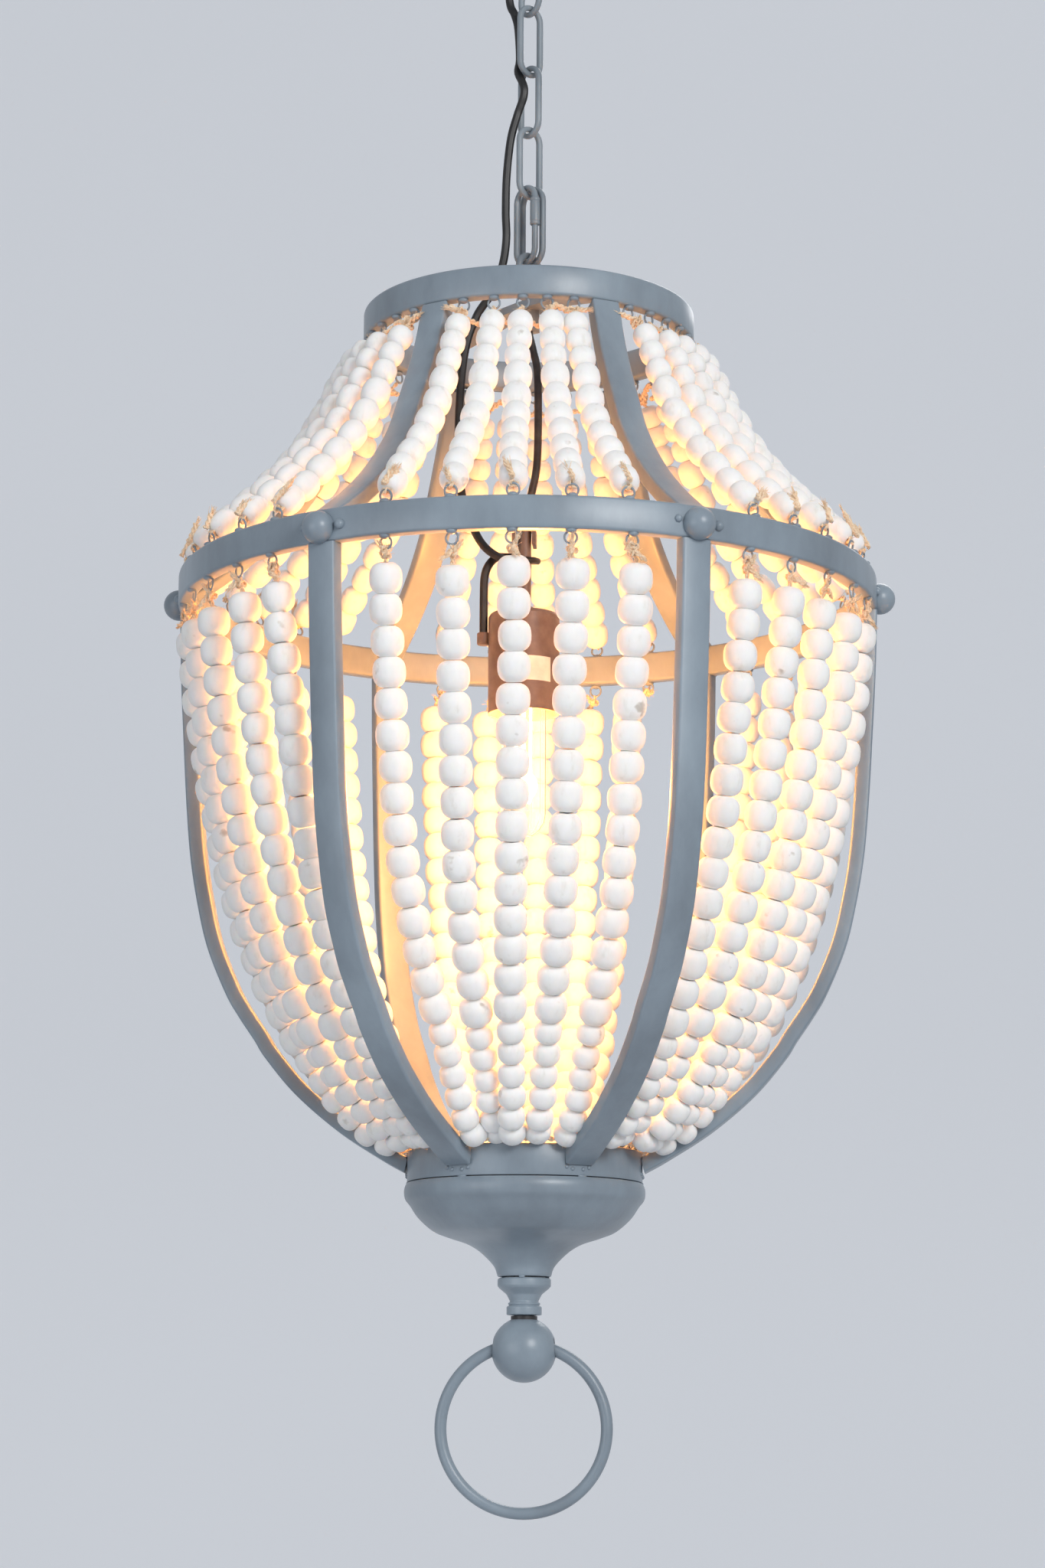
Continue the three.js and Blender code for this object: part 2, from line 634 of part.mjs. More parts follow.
function upperPanel() {
  const fallShares = [[0, 0], [0.03, 0.09], [0.115, 0.2], [0.175, 0.27], [0.25, 0.365], [0.34, 0.48],
    [0.445, 0.585], [0.57, 0.69], [0.71, 0.79], [0.86, 0.885], [1, 1]];
  const start = [TOP_RING_RADIUS - RING_THICKNESS / 2, topRingBottom - GAP];
  const end = [MID_RING_RADIUS - RING_THICKNESS / 2, midRingTop + GAP + TWINE_LIFT];
  const line = swept(start, end, fallShares, 20);
  const beads = beadList(line, UPPER_TWINE_LENGTH, UPPER_SMALL_BEAD_COUNT, true);
  return beadPanel(line, beads, UPPER_TWINE_LENGTH);
}

function lowerPanel() {
  const fallShares = [[0, 0], [0.03, 0.04], [0.045, 0.1], [0.08, 0.21], [0.118, 0.31], [0.165, 0.413],
    [0.225, 0.514], [0.298, 0.615], [0.395, 0.715], [0.52, 0.81], [0.665, 0.903], [0.81, 0.972], [1, 1]];
  const start = [MID_RING_RADIUS - RING_THICKNESS / 2, midRingBottom - GAP];
  const end = [COLLAR_RADIUS - COLLAR_THICKNESS / 2, collarTop + GAP + TWINE_LIFT];
  const line = swept(start, end, fallShares, 24);
  const beads = beadList(line, LOWER_TWINE_LENGTH, LOWER_SMALL_BEAD_COUNT, false);
  return beadPanel(line, beads, LOWER_TWINE_LENGTH);
}

// Bowl: a spun cup that swells under the collar and draws in to the neck.
function bowl() {
  const bowlShares = [[0.976, 0], [1, 0.09], [0.949, 0.246], [0.878, 0.377], [0.761, 0.51], [0.487, 0.644],
    [0.331, 0.777], [0.243, 0.908]];
  const outer = bowlShares.map(([r, z]) => [r * BOWL_RADIUS, bowlTop - z * BOWL_HEIGHT]);
  outer.push([BOWL_NECK_RADIUS, bowlBottom]);
  const inner = shifted(outer, BOWL_WALL).map(([r, z]) => [r, Math.max(z, bowlBottom + BOWL_WALL)]);
  inner[0] = [outer[0][0] - BOWL_WALL, bowlTop];
  const hole = TIE_ROD_RADIUS + GAP;
  return turned([...outer, [hole, bowlBottom], [hole, bowlBottom + BOWL_WALL], ...inner.reverse()], 24, true);
}

// Neck finial: turned collars and a waist between the bowl and the ball.
function neckFinial() {
  const bore = TIE_ROD_RADIUS + GAP;
  const finialShares = [[0, 0], [0.235, 0], [0.3, 0.25], [0.44, 0.8], [0.6, 1], [0.66, 0.84], [0.72, 0.95]];
  const footShare = 0.26;
  const drop = FINIAL_RADIUS - FINIAL_WAIST_RADIUS;
  const outer = finialShares.map(([z, r]) => [FINIAL_RADIUS - r * drop, finialTop - z * FINIAL_HEIGHT]);
  const foot = finialBottom + FINIAL_HEIGHT * footShare;
  outer.push([FINIAL_FOOT_RADIUS, foot], [FINIAL_FOOT_RADIUS, finialBottom]);
  return turned([...outer, [bore, finialBottom], [bore, finialTop]], 16, true);
}

// Tie rod: screwed into the ball, it draws the finial and the bowl together under its nut.
function tieRod() {
  const seat = bowlBottom + BOWL_WALL + GAP;
  const end = ballMiddle + BALL_RADIUS / 2 + GAP;
  return turned([
    [0, end], [TIE_ROD_RADIUS, end], [TIE_ROD_RADIUS, seat], [TIE_NUT_RADIUS, seat],
    [TIE_NUT_RADIUS, seat + TIE_NUT_HEIGHT], [TIE_ROD_RADIUS, seat + TIE_NUT_HEIGHT],
    [TIE_ROD_RADIUS, seat + 2 * TIE_NUT_HEIGHT], [0, seat + 2 * TIE_NUT_HEIGHT],
  ], 12);
}

const pullRingRadius = (PULL_RING_DIAMETER - PULL_RING_WIRE) / 2;
const pullRingSag = pullRingRadius - Math.sqrt(pullRingRadius ** 2 - BALL_RADIUS ** 2);
const boreRadius = (PULL_RING_WIRE + pullRingSag) / 2 + GAP;
const boreHeight = ballMiddle + pullRingSag / 2;
const pullRingMiddle = boreHeight + pullRingSag / 2 - pullRingRadius;

// Ball: bored right through for the pull ring, and from above for the tie rod.
function finialBall() {
  const ball = new THREE.SphereGeometry(BALL_RADIUS, 14, 10).rotateX(Math.PI / 2);
  ball.translate(0, 0, ballMiddle);
  const cross = rod(boreRadius, OVERRUN, -OVERRUN, 12).rotateY(Math.PI / 2).translate(0, 0, boreHeight);
  const socket = rod(TIE_ROD_RADIUS + GAP, ballMiddle + 2 * BALL_RADIUS, ballMiddle + BALL_RADIUS / 2, 12);
  return cut(ball, cross, socket);
}

function pullRing() {
  const ring = new THREE.TorusGeometry(pullRingRadius, PULL_RING_WIRE / 2, 7, 28).rotateX(Math.PI / 2);
  return closed(ring.translate(0, 0, pullRingMiddle));
}

// Hanger rod: screwed into the long nut, it bows to one side on its way down to the bracket.
function hangerRod() {
  const bowShares = [[0, 0], [0, 0.05], [0.5, 0.14], [1, 0.27], [1, 0.65], [0.4, 0.82]];
  const footShares = [0.94, 1];
  const top = hangerRodTop - GAP;
  const height = (share) => top + (hangerRodBottom - top) * share;
  const points = bowShares.map(([x, z]) => new THREE.Vector3(x * HANGER_ROD_BOW, 0, height(z)));
  footShares.forEach((share) => points.push(new THREE.Vector3(HOLDER_SHIFT, 0, height(share))));
  return openTube(new THREE.CatmullRomCurve3(points), HANGER_ROD_RADIUS, 6, 14);
}

// Bracket: a small strap bent into an upside-down U, on the stem that carries the lampholder.
// The hanger rod's foot stands in a socket in its top.
function holderBracket() {
  const left = HOLDER_SHIFT - BRACKET_SPAN / 2;
  const right = HOLDER_SHIFT + BRACKET_SPAN / 2;
  const foot = bracketTop - BRACKET_HEIGHT;
  const under = bracketTop - BRACKET_THICKNESS;
  const strap = plate([
    [left, foot], [left, bracketTop], [right, bracketTop], [right, foot],
    [right - BRACKET_THICKNESS, foot], [right - BRACKET_THICKNESS, under],
    [left + BRACKET_THICKNESS, under], [left + BRACKET_THICKNESS, foot],
  ], BRACKET_WIDTH);
  const stem = rod(STEM_RADIUS, bracketTop - BRACKET_THICKNESS / 2, bracketTop - STEM_LENGTH, 12);
  const socket = rod(HANGER_ROD_RADIUS + GAP, bracketTop + OVERRUN, hangerRodBottom - GAP, 12);
  const whole = add(strap, stem.translate(HOLDER_SHIFT, 0, 0));
  return cut(whole, socket.translate(HOLDER_SHIFT, 0, 0));
}

// Lampholder: a deep cup with a rounded shoulder, open below. The cord goes in through a small
// entry boss on its side.
function lampholder() {
  const bottom = holderTop - HOLDER_HEIGHT;
  const inner = HOLDER_RADIUS - HOLDER_WALL;
  const shoulder = HOLDER_RADIUS * 0.86;
  const cup = turned([
    [0, holderTop], [shoulder, holderTop], [HOLDER_RADIUS, holderTop - HOLDER_RADIUS * 0.2],
    [HOLDER_RADIUS, bottom], [inner, bottom], [inner, holderTop - HOLDER_RADIUS * 0.22],
    [shoulder - HOLDER_WALL, holderTop - HOLDER_WALL], [0, holderTop - HOLDER_WALL],
  ], 24);
  const boss = rod(ENTRY_RADIUS, entryTop, entryTop - ENTRY_LENGTH, 8).translate(entryX, 0, 0);
  const hollow = rod(inner + HOLDER_WALL / 2, holderTop, bottom, 24);
  return add(cup, cut(boss, hollow)).translate(HOLDER_SHIFT, 0, 0);
}

const insertTop = holderTop - HOLDER_WALL - GAP;
const insertBottom = insertTop - INSERT_HEIGHT;
const capTop = insertTop - 2 * HOLDER_WALL - GAP;

// Insert: the porcelain body that the bulb's cap screws into.
function lampholderInsert() {
  const bore = CAP_RADIUS + GAP;
  return turned([
    [0, insertTop], [INSERT_RADIUS, insertTop], [INSERT_RADIUS, insertBottom], [bore, insertBottom],
    [bore, insertTop - 2 * HOLDER_WALL], [0, insertTop - 2 * HOLDER_WALL],
  ], 24).translate(HOLDER_SHIFT, 0, 0);
}

// Cap: the screw shell of the bulb, a cup whose mouth holds the neck of the glass.
function bulbCap() {
  const shellTop = capTop - CONTACT_HEIGHT;
  const shellBottom = capTop - CAP_HEIGHT;
  const mouth = shellBottom + BULB_NECK_LENGTH;
  return turned([
    [0, capTop], [CONTACT_RADIUS, capTop], [CONTACT_RADIUS, shellTop], [CAP_RADIUS, shellTop],
    [CAP_RADIUS, shellBottom], [CAP_RADIUS - CAP_WALL, shellBottom], [CAP_RADIUS - CAP_WALL, mouth],
    [0, mouth],
  ], 18).translate(HOLDER_SHIFT, 0, 0);
}

const glassTop = capTop - CAP_HEIGHT + BULB_NECK_LENGTH - GAP;
const glassBottom = glassTop - BULB_LENGTH;

// Glass: a clear tube with a drawn-in neck and a round end, open at the neck.
function bulbGlass() {
  const wall = (offset) => {
    const radius = BULB_RADIUS - offset;
    const neck = BULB_NECK_RADIUS - offset;
    const centre = glassBottom + BULB_RADIUS;
    const shoulder = glassTop - 2 * BULB_NECK_LENGTH;
    const dome = [0, 0.4, 0.72, 0.94].map((share) => {
      const angle = Math.asin(share);
      return [radius * share, centre - radius * Math.cos(angle)];
    });
    const neckBottom = shoulder + BULB_NECK_LENGTH / 2;
    return [...dome, [radius, centre], [radius, shoulder], [neck, neckBottom], [neck, glassTop]];
  };
  return turned([...wall(0), ...wall(BULB_WALL).reverse()], 14).translate(HOLDER_SHIFT, 0, 0);
}

// Filament: one wire that runs up and down in a cage of legs round the middle of the glass.
function bulbFilament() {
  const top = glassBottom + BULB_RADIUS * 1.6 + FILAMENT_LENGTH;
  const bottom = top - FILAMENT_LENGTH;
  const mount = glassTop;
  const points = [new THREE.Vector3(0, 0, mount)];
  for (let i = 0; i < FILAMENT_LEGS; i += 1) {
    const angle = 2 * Math.PI * i / FILAMENT_LEGS;
    const x = FILAMENT_SPREAD / 2 * Math.cos(angle);
    const y = FILAMENT_SPREAD / 2 * Math.sin(angle);
    const heights = i % 2 ? [bottom, top] : [top, bottom];
    heights.forEach((height) => points.push(new THREE.Vector3(x, y, height)));
  }
  const path = new THREE.CurvePath();
  for (let i = 1; i < points.length; i += 1) path.add(new THREE.LineCurve3(points[i - 1], points[i]));
  const pieces = path.curves.map((line) => openTube(line, FILAMENT_WIRE / 2, 4, 1));
  const joints = points.slice(1, -1).map((point) => {
    const joint = new THREE.OctahedronGeometry(FILAMENT_WIRE * 0.6);
    return joint.translate(point.x, point.y, point.z);
  });
  return add(...pieces, ...joints).translate(HOLDER_SHIFT, 0, 0);
}

// Cord route, in the order it runs: down beside the chain, in over the top ring, down the
// inside, once round the stem, and to the entry boss of the lampholder. Each row holds shares of
// the cord's reach to the side, of its depth, and of the height from the mid ring to the grip.
const cordRouteShares = [
  [-0.348, 0.182, 1], [-0.339, 0.236, 0.953], [-0.304, 0.364, 0.896], [-0.228, 0.273, 0.875],
  [-0.178, 0.236, 0.853], [-0.152, 0.136, 0.807], [-0.174, 0.055, 0.788], [-0.157, -0.064, 0.779],
  [-0.115, -0.236, 0.769], [-0.078, -0.382, 0.757], [-0.085, -0.364, 0.744], [-0.13, -0.255, 0.731],
  [-0.183, -0.164, 0.716], [-0.27, -0.182, 0.681], [-0.326, -0.127, 0.627], [-0.339, -0.055, 0.574],
  [-0.33, 0, 0.531], [-0.391, 0.182, 0.492], [-0.543, 0.455, 0.455], [-0.761, 0.636, 0.422],
  [-0.926, 0.727, 0.37], [-1, 0.709, 0.283], [-0.991, 0.618, 0.196], [-0.922, 0.455, 0.146],
  [-0.752, 0.145, 0.101], [-0.591, -0.382, 0.074], [-0.38, -0.782, 0.057], [-0.207, -0.964, 0.051],
  [-0.054, -0.982, 0.051], [0.061, -0.764, 0.053], [0.122, -0.182, 0.055], [0.104, 0.455, 0.059],
  [0, 0.891, 0.062], [-0.143, 0.909, 0.066], [-0.296, 0.636, 0.067], [-0.443, 0.309, 0.064],
  [-0.557, 0.127, 0.051], [-0.609, 0.036, 0.033], [-0.617, 0, 0.004], [-0.617, 0, -0.047],
];
const gripX = cordRouteShares[0][0] * CORD_REACH;
const gripY = cordRouteShares[0][1] * CORD_DEPTH;

function flexCord() {
  const bottom = midRingMiddle;
  const top = -ROSE_HEIGHT - GRIP_LENGTH - 2 * GAP;
  const points = cordRouteShares.map(([x, y, z]) => new THREE.Vector3(
    x * CORD_REACH,
    y * CORD_DEPTH,
    bottom + z * (top - bottom),
  ));
  const entry = HOLDER_SHIFT + entryX;
  points.slice(-2).forEach((point) => point.setX(entry));
  points[points.length - 1].setZ(entryTop + GAP);
  const curve = new THREE.CatmullRomCurve3(points);
  return openTube(curve, CORD_DIAMETER / 2, CORD_SIDES, CORD_STEPS);
}

// Assembly

place('ceiling_rose', ceilingRose(), paint());
place('mounting_strap', mountingStrap(), nickel());
const hookGroup = turnedGroup(LINK_TURN);
place('ceiling_hook', ceilingHook(), chainPaint(), hookGroup);
place('cord_grip', cordGrip(), black());
for (let i = 0; i < LINK_COUNT; i += 1) {
  place(`chain_link_${i + 1}`, chainLink(i), chainPaint(), turnedGroup(i % 2 ? LINK_TURN : -LINK_TURN));
}
const screwLinkGroup = turnedGroup(LINK_COUNT % 2 ? LINK_TURN : -LINK_TURN);
place('screw_link', screwLink(), chainPaint(), screwLinkGroup);
place('screw_link_sleeve', screwLinkSleeve(), chainPaint(), screwLinkGroup);
place('twin_link', twinLink(), chainPaint(), screwLinkGroup);
place('hanging_loop', hangingLoop(), chainPaint(), turnedGroup(LINK_COUNT % 2 ? -LINK_TURN : LINK_TURN));
place('crossbar', crossbar(), paint(), turnedGroup(CROSSBAR_TURN));
place('crossbar_nut', crossbarNut(), chainPaint());
place('top_ring', topRing(), paint());
place('mid_ring', midRing(), paint());
place('collar_ring', collarRing(), paint());

for (let i = 0; i < RIB_COUNT; i += 1) {
  const atRib = turnedGroup(-Math.PI / 2 + (i + 1 / 2) * 2 * Math.PI / RIB_COUNT);
  place(`upper_rib_${i + 1}`, upperRib(), paint(), atRib);
  place(`lower_rib_${i + 1}`, lowerRib(), paint(), atRib);
  place(`knob_${i + 1}`, knob(), paint(), atRib);
  const atPanel = turnedGroup(-Math.PI / 2 + i * 2 * Math.PI / RIB_COUNT);
  place(`upper_beads_${i + 1}`, upperPanel(), wood(), atPanel);
  place(`lower_beads_${i + 1}`, lowerPanel(), wood(), atPanel);
}

place('bowl', bowl(), paint());
place('neck_finial', neckFinial(), paint());
place('tie_rod', tieRod(), nickel());
place('finial_ball', finialBall(), paint());
place('pull_ring', pullRing(), paint());

place('hanger_rod', hangerRod(), brown());
place('holder_bracket', holderBracket(), brown());
place('lampholder', lampholder(), brown());
place('lampholder_insert', lampholderInsert(), porcelain());
place('bulb_cap', bulbCap(), nickel());
place('bulb_glass', bulbGlass(), glass());
place('bulb_filament', bulbFilament(), glowing());
place('flex_cord', flexCord(), black());

export default chandelier;
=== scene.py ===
import bpy
import json
import math
import numpy as np
from mathutils import Matrix, Vector


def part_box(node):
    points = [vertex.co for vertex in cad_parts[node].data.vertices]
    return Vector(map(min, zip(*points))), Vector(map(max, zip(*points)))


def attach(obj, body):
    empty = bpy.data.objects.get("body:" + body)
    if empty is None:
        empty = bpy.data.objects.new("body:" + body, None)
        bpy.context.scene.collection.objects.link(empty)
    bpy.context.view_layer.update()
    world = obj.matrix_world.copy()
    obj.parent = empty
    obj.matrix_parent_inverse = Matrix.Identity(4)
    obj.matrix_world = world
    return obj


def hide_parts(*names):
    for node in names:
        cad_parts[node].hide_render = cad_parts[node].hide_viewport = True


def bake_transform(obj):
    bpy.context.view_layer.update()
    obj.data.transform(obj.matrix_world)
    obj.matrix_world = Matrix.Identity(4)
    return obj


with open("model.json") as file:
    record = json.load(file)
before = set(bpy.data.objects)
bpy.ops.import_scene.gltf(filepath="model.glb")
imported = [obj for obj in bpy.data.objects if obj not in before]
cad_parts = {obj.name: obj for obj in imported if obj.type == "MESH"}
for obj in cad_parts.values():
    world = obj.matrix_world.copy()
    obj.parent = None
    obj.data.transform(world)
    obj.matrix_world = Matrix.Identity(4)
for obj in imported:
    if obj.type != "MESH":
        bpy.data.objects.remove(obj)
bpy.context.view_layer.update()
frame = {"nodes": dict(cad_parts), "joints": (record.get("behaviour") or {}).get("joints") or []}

# Everything is in metres in the row frame. Heights in the tables are in millimetres from the
# middle of the mid ring, radii in millimetres from the lamp's axis.
MM = 0.001
MID = (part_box("mid_ring")[0].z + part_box("mid_ring")[1].z) / 2 / MM
SHARP_ANGLE = 38
rng = np.random.default_rng(7)


def foot_of(node):
    """The height of a node's lower end, in table millimetres."""
    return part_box(node)[0].z / MM - MID


def top_of(node):
    """The height of a node's upper end, in table millimetres."""
    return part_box(node)[1].z / MM - MID


def new_object(name, data):
    piece = bpy.data.objects.new(name, data)
    bpy.context.scene.collection.objects.link(piece)
    return piece


# Materials
def new_material(name):
    material = bpy.data.materials.new(name)
    material.use_nodes = True
    tree = material.node_tree
    return material, tree, tree.nodes["Principled BSDF"]


def set_inputs(node, **values):
    """Sets a node's own sockets, named with _ for a space."""
    for name, value in values.items():
        node.inputs[name.replace("_", " ")].default_value = value


def noise(tree, scale, detail=4.0, roughness=0.55, stretch=(1, 1, 1)):
    coordinates = tree.nodes.new("ShaderNodeTexCoord")
    mapping = tree.nodes.new("ShaderNodeMapping")
    set_inputs(mapping, Scale=stretch)
    texture = tree.nodes.new("ShaderNodeTexNoise")
    set_inputs(texture, Scale=scale, Detail=detail, Roughness=roughness)
    tree.links.new(coordinates.outputs["Object"], mapping.inputs["Vector"])
    tree.links.new(mapping.outputs["Vector"], texture.inputs["Vector"])
    return texture.outputs["Fac"]


def ramp(tree, source, stops):
    node = tree.nodes.new("ShaderNodeValToRGB")
    elements = node.color_ramp.elements
    while len(elements) < len(stops):
        elements.new(0.5)
    for element, (at, colour) in zip(elements, stops):
        element.position = at
        element.color = (*colour, 1)
    tree.links.new(source, node.inputs["Fac"])
    return node.outputs["Color"]


def bump(tree, shader, source, strength, distance):
    node = tree.nodes.new("ShaderNodeBump")
    set_inputs(node, Strength=strength, Distance=distance)
    tree.links.new(source, node.inputs["Height"])
    tree.links.new(node.outputs["Normal"], shader.inputs["Normal"])


def srgb(r, g, b):
    def line(c):
        c /= 255
        return c / 12.92 if c <= 0.04045 else ((c + 0.055) / 1.055) ** 2.4
    return line(r), line(g), line(b)


def painted(name, low, mid, high, rough=0.34):
    material, tree, shader = new_material(name)
    colour = ramp(tree, noise(tree, 18, 6, 0.6, (1, 1, 0.5)),
                  [(0.3, srgb(*low)), (0.52, srgb(*mid)), (0.78, srgb(*high))])
    tree.links.new(colour, shader.inputs["Base Color"])
    set_inputs(shader, Roughness=rough, Metallic=0.0, Specular_IOR_Level=0.5)
    bump(tree, shader, noise(tree, 260, 3), 0.12, 0.0004)
    return material


def plain(name, colour, rough, metal=0.0, grain=0.0):
    material, tree, shader = new_material(name)
    low = tuple(max(c - 14, 0) for c in colour)
    high = tuple(min(c + 10, 255) for c in colour)
    shade = ramp(tree, noise(tree, 90, 4), [(0.35, srgb(*low)), (0.65, srgb(*high))])
    tree.links.new(shade, shader.inputs["Base Color"])
    set_inputs(shader, Roughness=rough, Metallic=metal)
    if grain:
        bump(tree, shader, noise(tree, 500, 3), grain, 0.0003)
    return material


PAINT = painted("blue_grey_paint", (118, 129, 139), (133, 146, 157), (150, 164, 175))
CHAIN_PAINT = painted("chain_paint", (112, 121, 129), (136, 146, 154), (164, 175, 183), 0.38)
BROWN = plain("brown_enamel", (112, 96, 90), 0.4)
# Dark steel for the bowed rod, and also painted shade: the same dark finish makes the rings that stand in for shadow
# behind the bowl's seam and under the neck.
DARK = plain("dark_steel_and_painted_shade", (52, 50, 52), 0.4, 0.2)
CORD_BLACK = plain("black_pvc", (14, 14, 16), 0.42)
PORCELAIN = plain("porcelain", (226, 220, 208), 0.25)
NICKEL = plain("nickel_plate", (196, 194, 188), 0.25, 1.0)
LABEL = plain("white_label", (236, 234, 228), 0.6)


def bead_material():
    material, tree, shader = new_material("whitewashed_wood")
    grain = noise(tree, 150, 5, 0.6, (1, 1, 0.35))
    base = ramp(tree, grain, [(0.28, srgb(236, 233, 228)), (0.42, srgb(247, 246, 243)), (0.7, srgb(252, 251, 249))])
    marks = noise(tree, 70, 3, 0.5)
    mask = ramp(tree, marks, [(0.69, (0, 0, 0)), (0.76, (1, 1, 1))])
    mix = tree.nodes.new("ShaderNodeMix")
    mix.data_type = "RGBA"
    tree.links.new(mask, mix.inputs["Factor"])
    tree.links.new(base, mix.inputs["A"])
    set_inputs(mix, B=(*srgb(206, 200, 192), 1))
    tree.links.new(mix.outputs["Result"], shader.inputs["Base Color"])
    set_inputs(shader, Roughness=0.72, Subsurface_Weight=0.3, Subsurface_Radius=(1.0, 0.8, 0.58),
               Subsurface_Scale=0.005, Specular_IOR_Level=0.25)
    bump(tree, shader, noise(tree, 420, 4), 0.25, 0.0003)
    return material


def jute_material():
    material, tree, shader = new_material("jute")
    fibre = noise(tree, 900, 3, 0.6)
    colour = ramp(tree, fibre, [(0.3, srgb(222, 188, 150)), (0.5, srgb(241, 214, 182)), (0.72, srgb(250, 236, 214))])
    tree.links.new(colour, shader.inputs["Base Color"])
    set_inputs(shader, Roughness=0.9)
    bump(tree, shader, fibre, 0.35, 0.0005)
    return material


def glass_material():
    material, tree, shader = new_material("clear_glass")
    set_inputs(shader, Base_Color=(1.0, 0.985, 0.95, 1), Transmission_Weight=1.0, Roughness=0.02, IOR=1.2,
               Emission_Color=(1.0, 0.78, 0.5, 1), Emission_Strength=0.1)
    clear = tree.nodes.new("ShaderNodeBsdfTransparent")
    path = tree.nodes.new("ShaderNodeLightPath")
    mix = tree.nodes.new("ShaderNodeMixShader")
    tree.links.new(path.outputs["Is Shadow Ray"], mix.inputs["Fac"])
    tree.links.new(shader.outputs["BSDF"], mix.inputs[1])
    tree.links.new(clear.outputs["BSDF"], mix.inputs[2])
    tree.links.new(mix.outputs["Shader"], tree.nodes["Material Output"].inputs["Surface"])
    return material


def filament_material():
    material, _, shader = new_material("glowing_filament")
    set_inputs(shader, Base_Color=(1.0, 0.7, 0.35, 1), Emission_Color=(1.0, 0.78, 0.5, 1), Emission_Strength=40.0)
    return material


WOOD = bead_material()
JUTE = jute_material()
GLASS = glass_material()
GLOW = filament_material()


# Shapes
def vec(r, azimuth, z):
    """A point from a radius, an angle in degrees and a height, all from the tables' millimetres."""
    a = math.radians(azimuth)
    return np.array([r * math.cos(a), r * math.sin(a), z + MID]) * MM


def unit(v):
    return v / np.linalg.norm(v)


def steps(path):
    """The distances from each point of a path to the next."""
    return np.linalg.norm(np.diff(path, axis=0), axis=1)


def tangents(path, closed=False):
    """The direction of a path at each of its points."""
    along = np.roll(path, -1, 0) - np.roll(path, 1, 0) if closed else np.gradient(path, axis=0)
    return along / np.linalg.norm(along, axis=1)[:, None]


def outward(azimuth, out, up, across=0.0):
    """A direction at an angle round the axis, from how far it goes outwards, upwards and across."""
    a = math.radians(azimuth)
    return np.array([out * math.cos(a) - across * math.sin(a), out * math.sin(a) + across * math.cos(a), up])


def make(name, vertices, faces, material, body, nodes=()):
    """A smooth piece that rides a body, with its material's slot and the nodes it replaces."""
    mesh = bpy.data.meshes.new(name)
    mesh.from_pydata([tuple(v) for v in vertices], [], [tuple(f) for f in faces])
    mesh.update()
    mesh.polygons.foreach_set("use_smooth", [True] * len(mesh.polygons))
    mesh.materials.append(material)
    piece = new_object(name, mesh)
    mesh.set_sharp_from_angle(angle=math.radians(SHARP_ANGLE))
    if body:
        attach(piece, body)
    if nodes:
        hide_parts(*nodes)
    return piece


def rounded(points, radius, steps=3, closed=True):
    """The outline with each corner rounded by the radius, or by its own where the point has a third value."""
    out = []
    n = len(points)
    for i, point in enumerate(points):
        r = point[2] if len(point) > 2 else radius
        p = np.array(point[:2], float)
        if r <= 0 or (not closed and i in (0, n - 1)):
            out.append(p)
            continue
        a = np.array(points[(i - 1) % n][:2], float) - p
        b = np.array(points[(i + 1) % n][:2], float) - p
        la, lb = np.linalg.norm(a), np.linalg.norm(b)
        a, b = a / la, b / lb
        half = math.acos(max(-1, min(1, float(a @ b)))) / 2
        if half > math.radians(88):
            out.append(p)
            continue
        cut = min(r / math.tan(half), la * 0.48, lb * 0.48)
        real = cut * math.tan(half)
        centre = p + unit(a + b) * (real / math.sin(half))
        start, end = p + a * cut - centre, p + b * cut - centre
        a0 = math.atan2(start[1], start[0])
        a1 = math.atan2(end[1], end[0])
        turn = (a1 - a0 + math.pi) % (2 * math.pi) - math.pi
        for k in range(steps + 1):
            t = a0 + turn * k / steps
            out.append(centre + real * np.array([math.cos(t), math.sin(t)]))
    return out


def lathe(profile, segments=96, closed=False):
    """Vertices and faces of a profile of (radius, height) turned about the axis."""
    vertices, faces, rings = [], [], []
    for r, z in profile:
        if abs(r) < 1e-6:
            rings.append([len(vertices)])
            vertices.append(np.array([0, 0, z]))
        else:
            start = len(vertices)
            for k in range(segments):
                a = 2 * math.pi * k / segments
                vertices.append(np.array([r * math.cos(a), r * math.sin(a), z]))
            rings.append(list(range(start, start + segments)))
    pairs = list(zip(rings, rings[1:]))
    if closed:
        pairs.append((rings[-1], rings[0]))
    for a, b in pairs:
        for k in range(segments):
            j = (k + 1) % segments
            if len(a) == 1:
                faces.append((a[0], b[j], b[k]))
            elif len(b) == 1:
                faces.append((a[k], a[j], b[0]))
            else:
                faces.append((a[k], a[j], b[j], b[k]))
    return vertices, faces


def place(vertices, x=0.0, y=0.0, z=0.0, turn=0.0):
    """Table millimetres, counted from the mid ring, to metres in the row frame."""
    c, s = math.cos(math.radians(turn)), math.sin(math.radians(turn))
    v = np.array(vertices, float)
    out = np.empty_like(v)
    out[:, 0] = (v[:, 0] * c - v[:, 1] * s + x) * MM
    out[:, 1] = (v[:, 0] * s + v[:, 1] * c + y) * MM
    out[:, 2] = (v[:, 2] + z + MID) * MM
    return out


def skin(rows, sides, closed=False, capped=True):
    """The faces that join rows of as many points each, one row after the other."""
    faces = []
    for i in range(rows if closed else rows - 1):
        a, b = i * sides, (i + 1) % rows * sides
        for k in range(sides):
            q = (k + 1) % sides
            faces.append((a + k, a + q, b + q, b + k))
    if capped and not closed:
        faces.append(tuple(range(sides))[::-1])
        faces.append(tuple((rows - 1) * sides + k for k in range(sides)))
    return faces


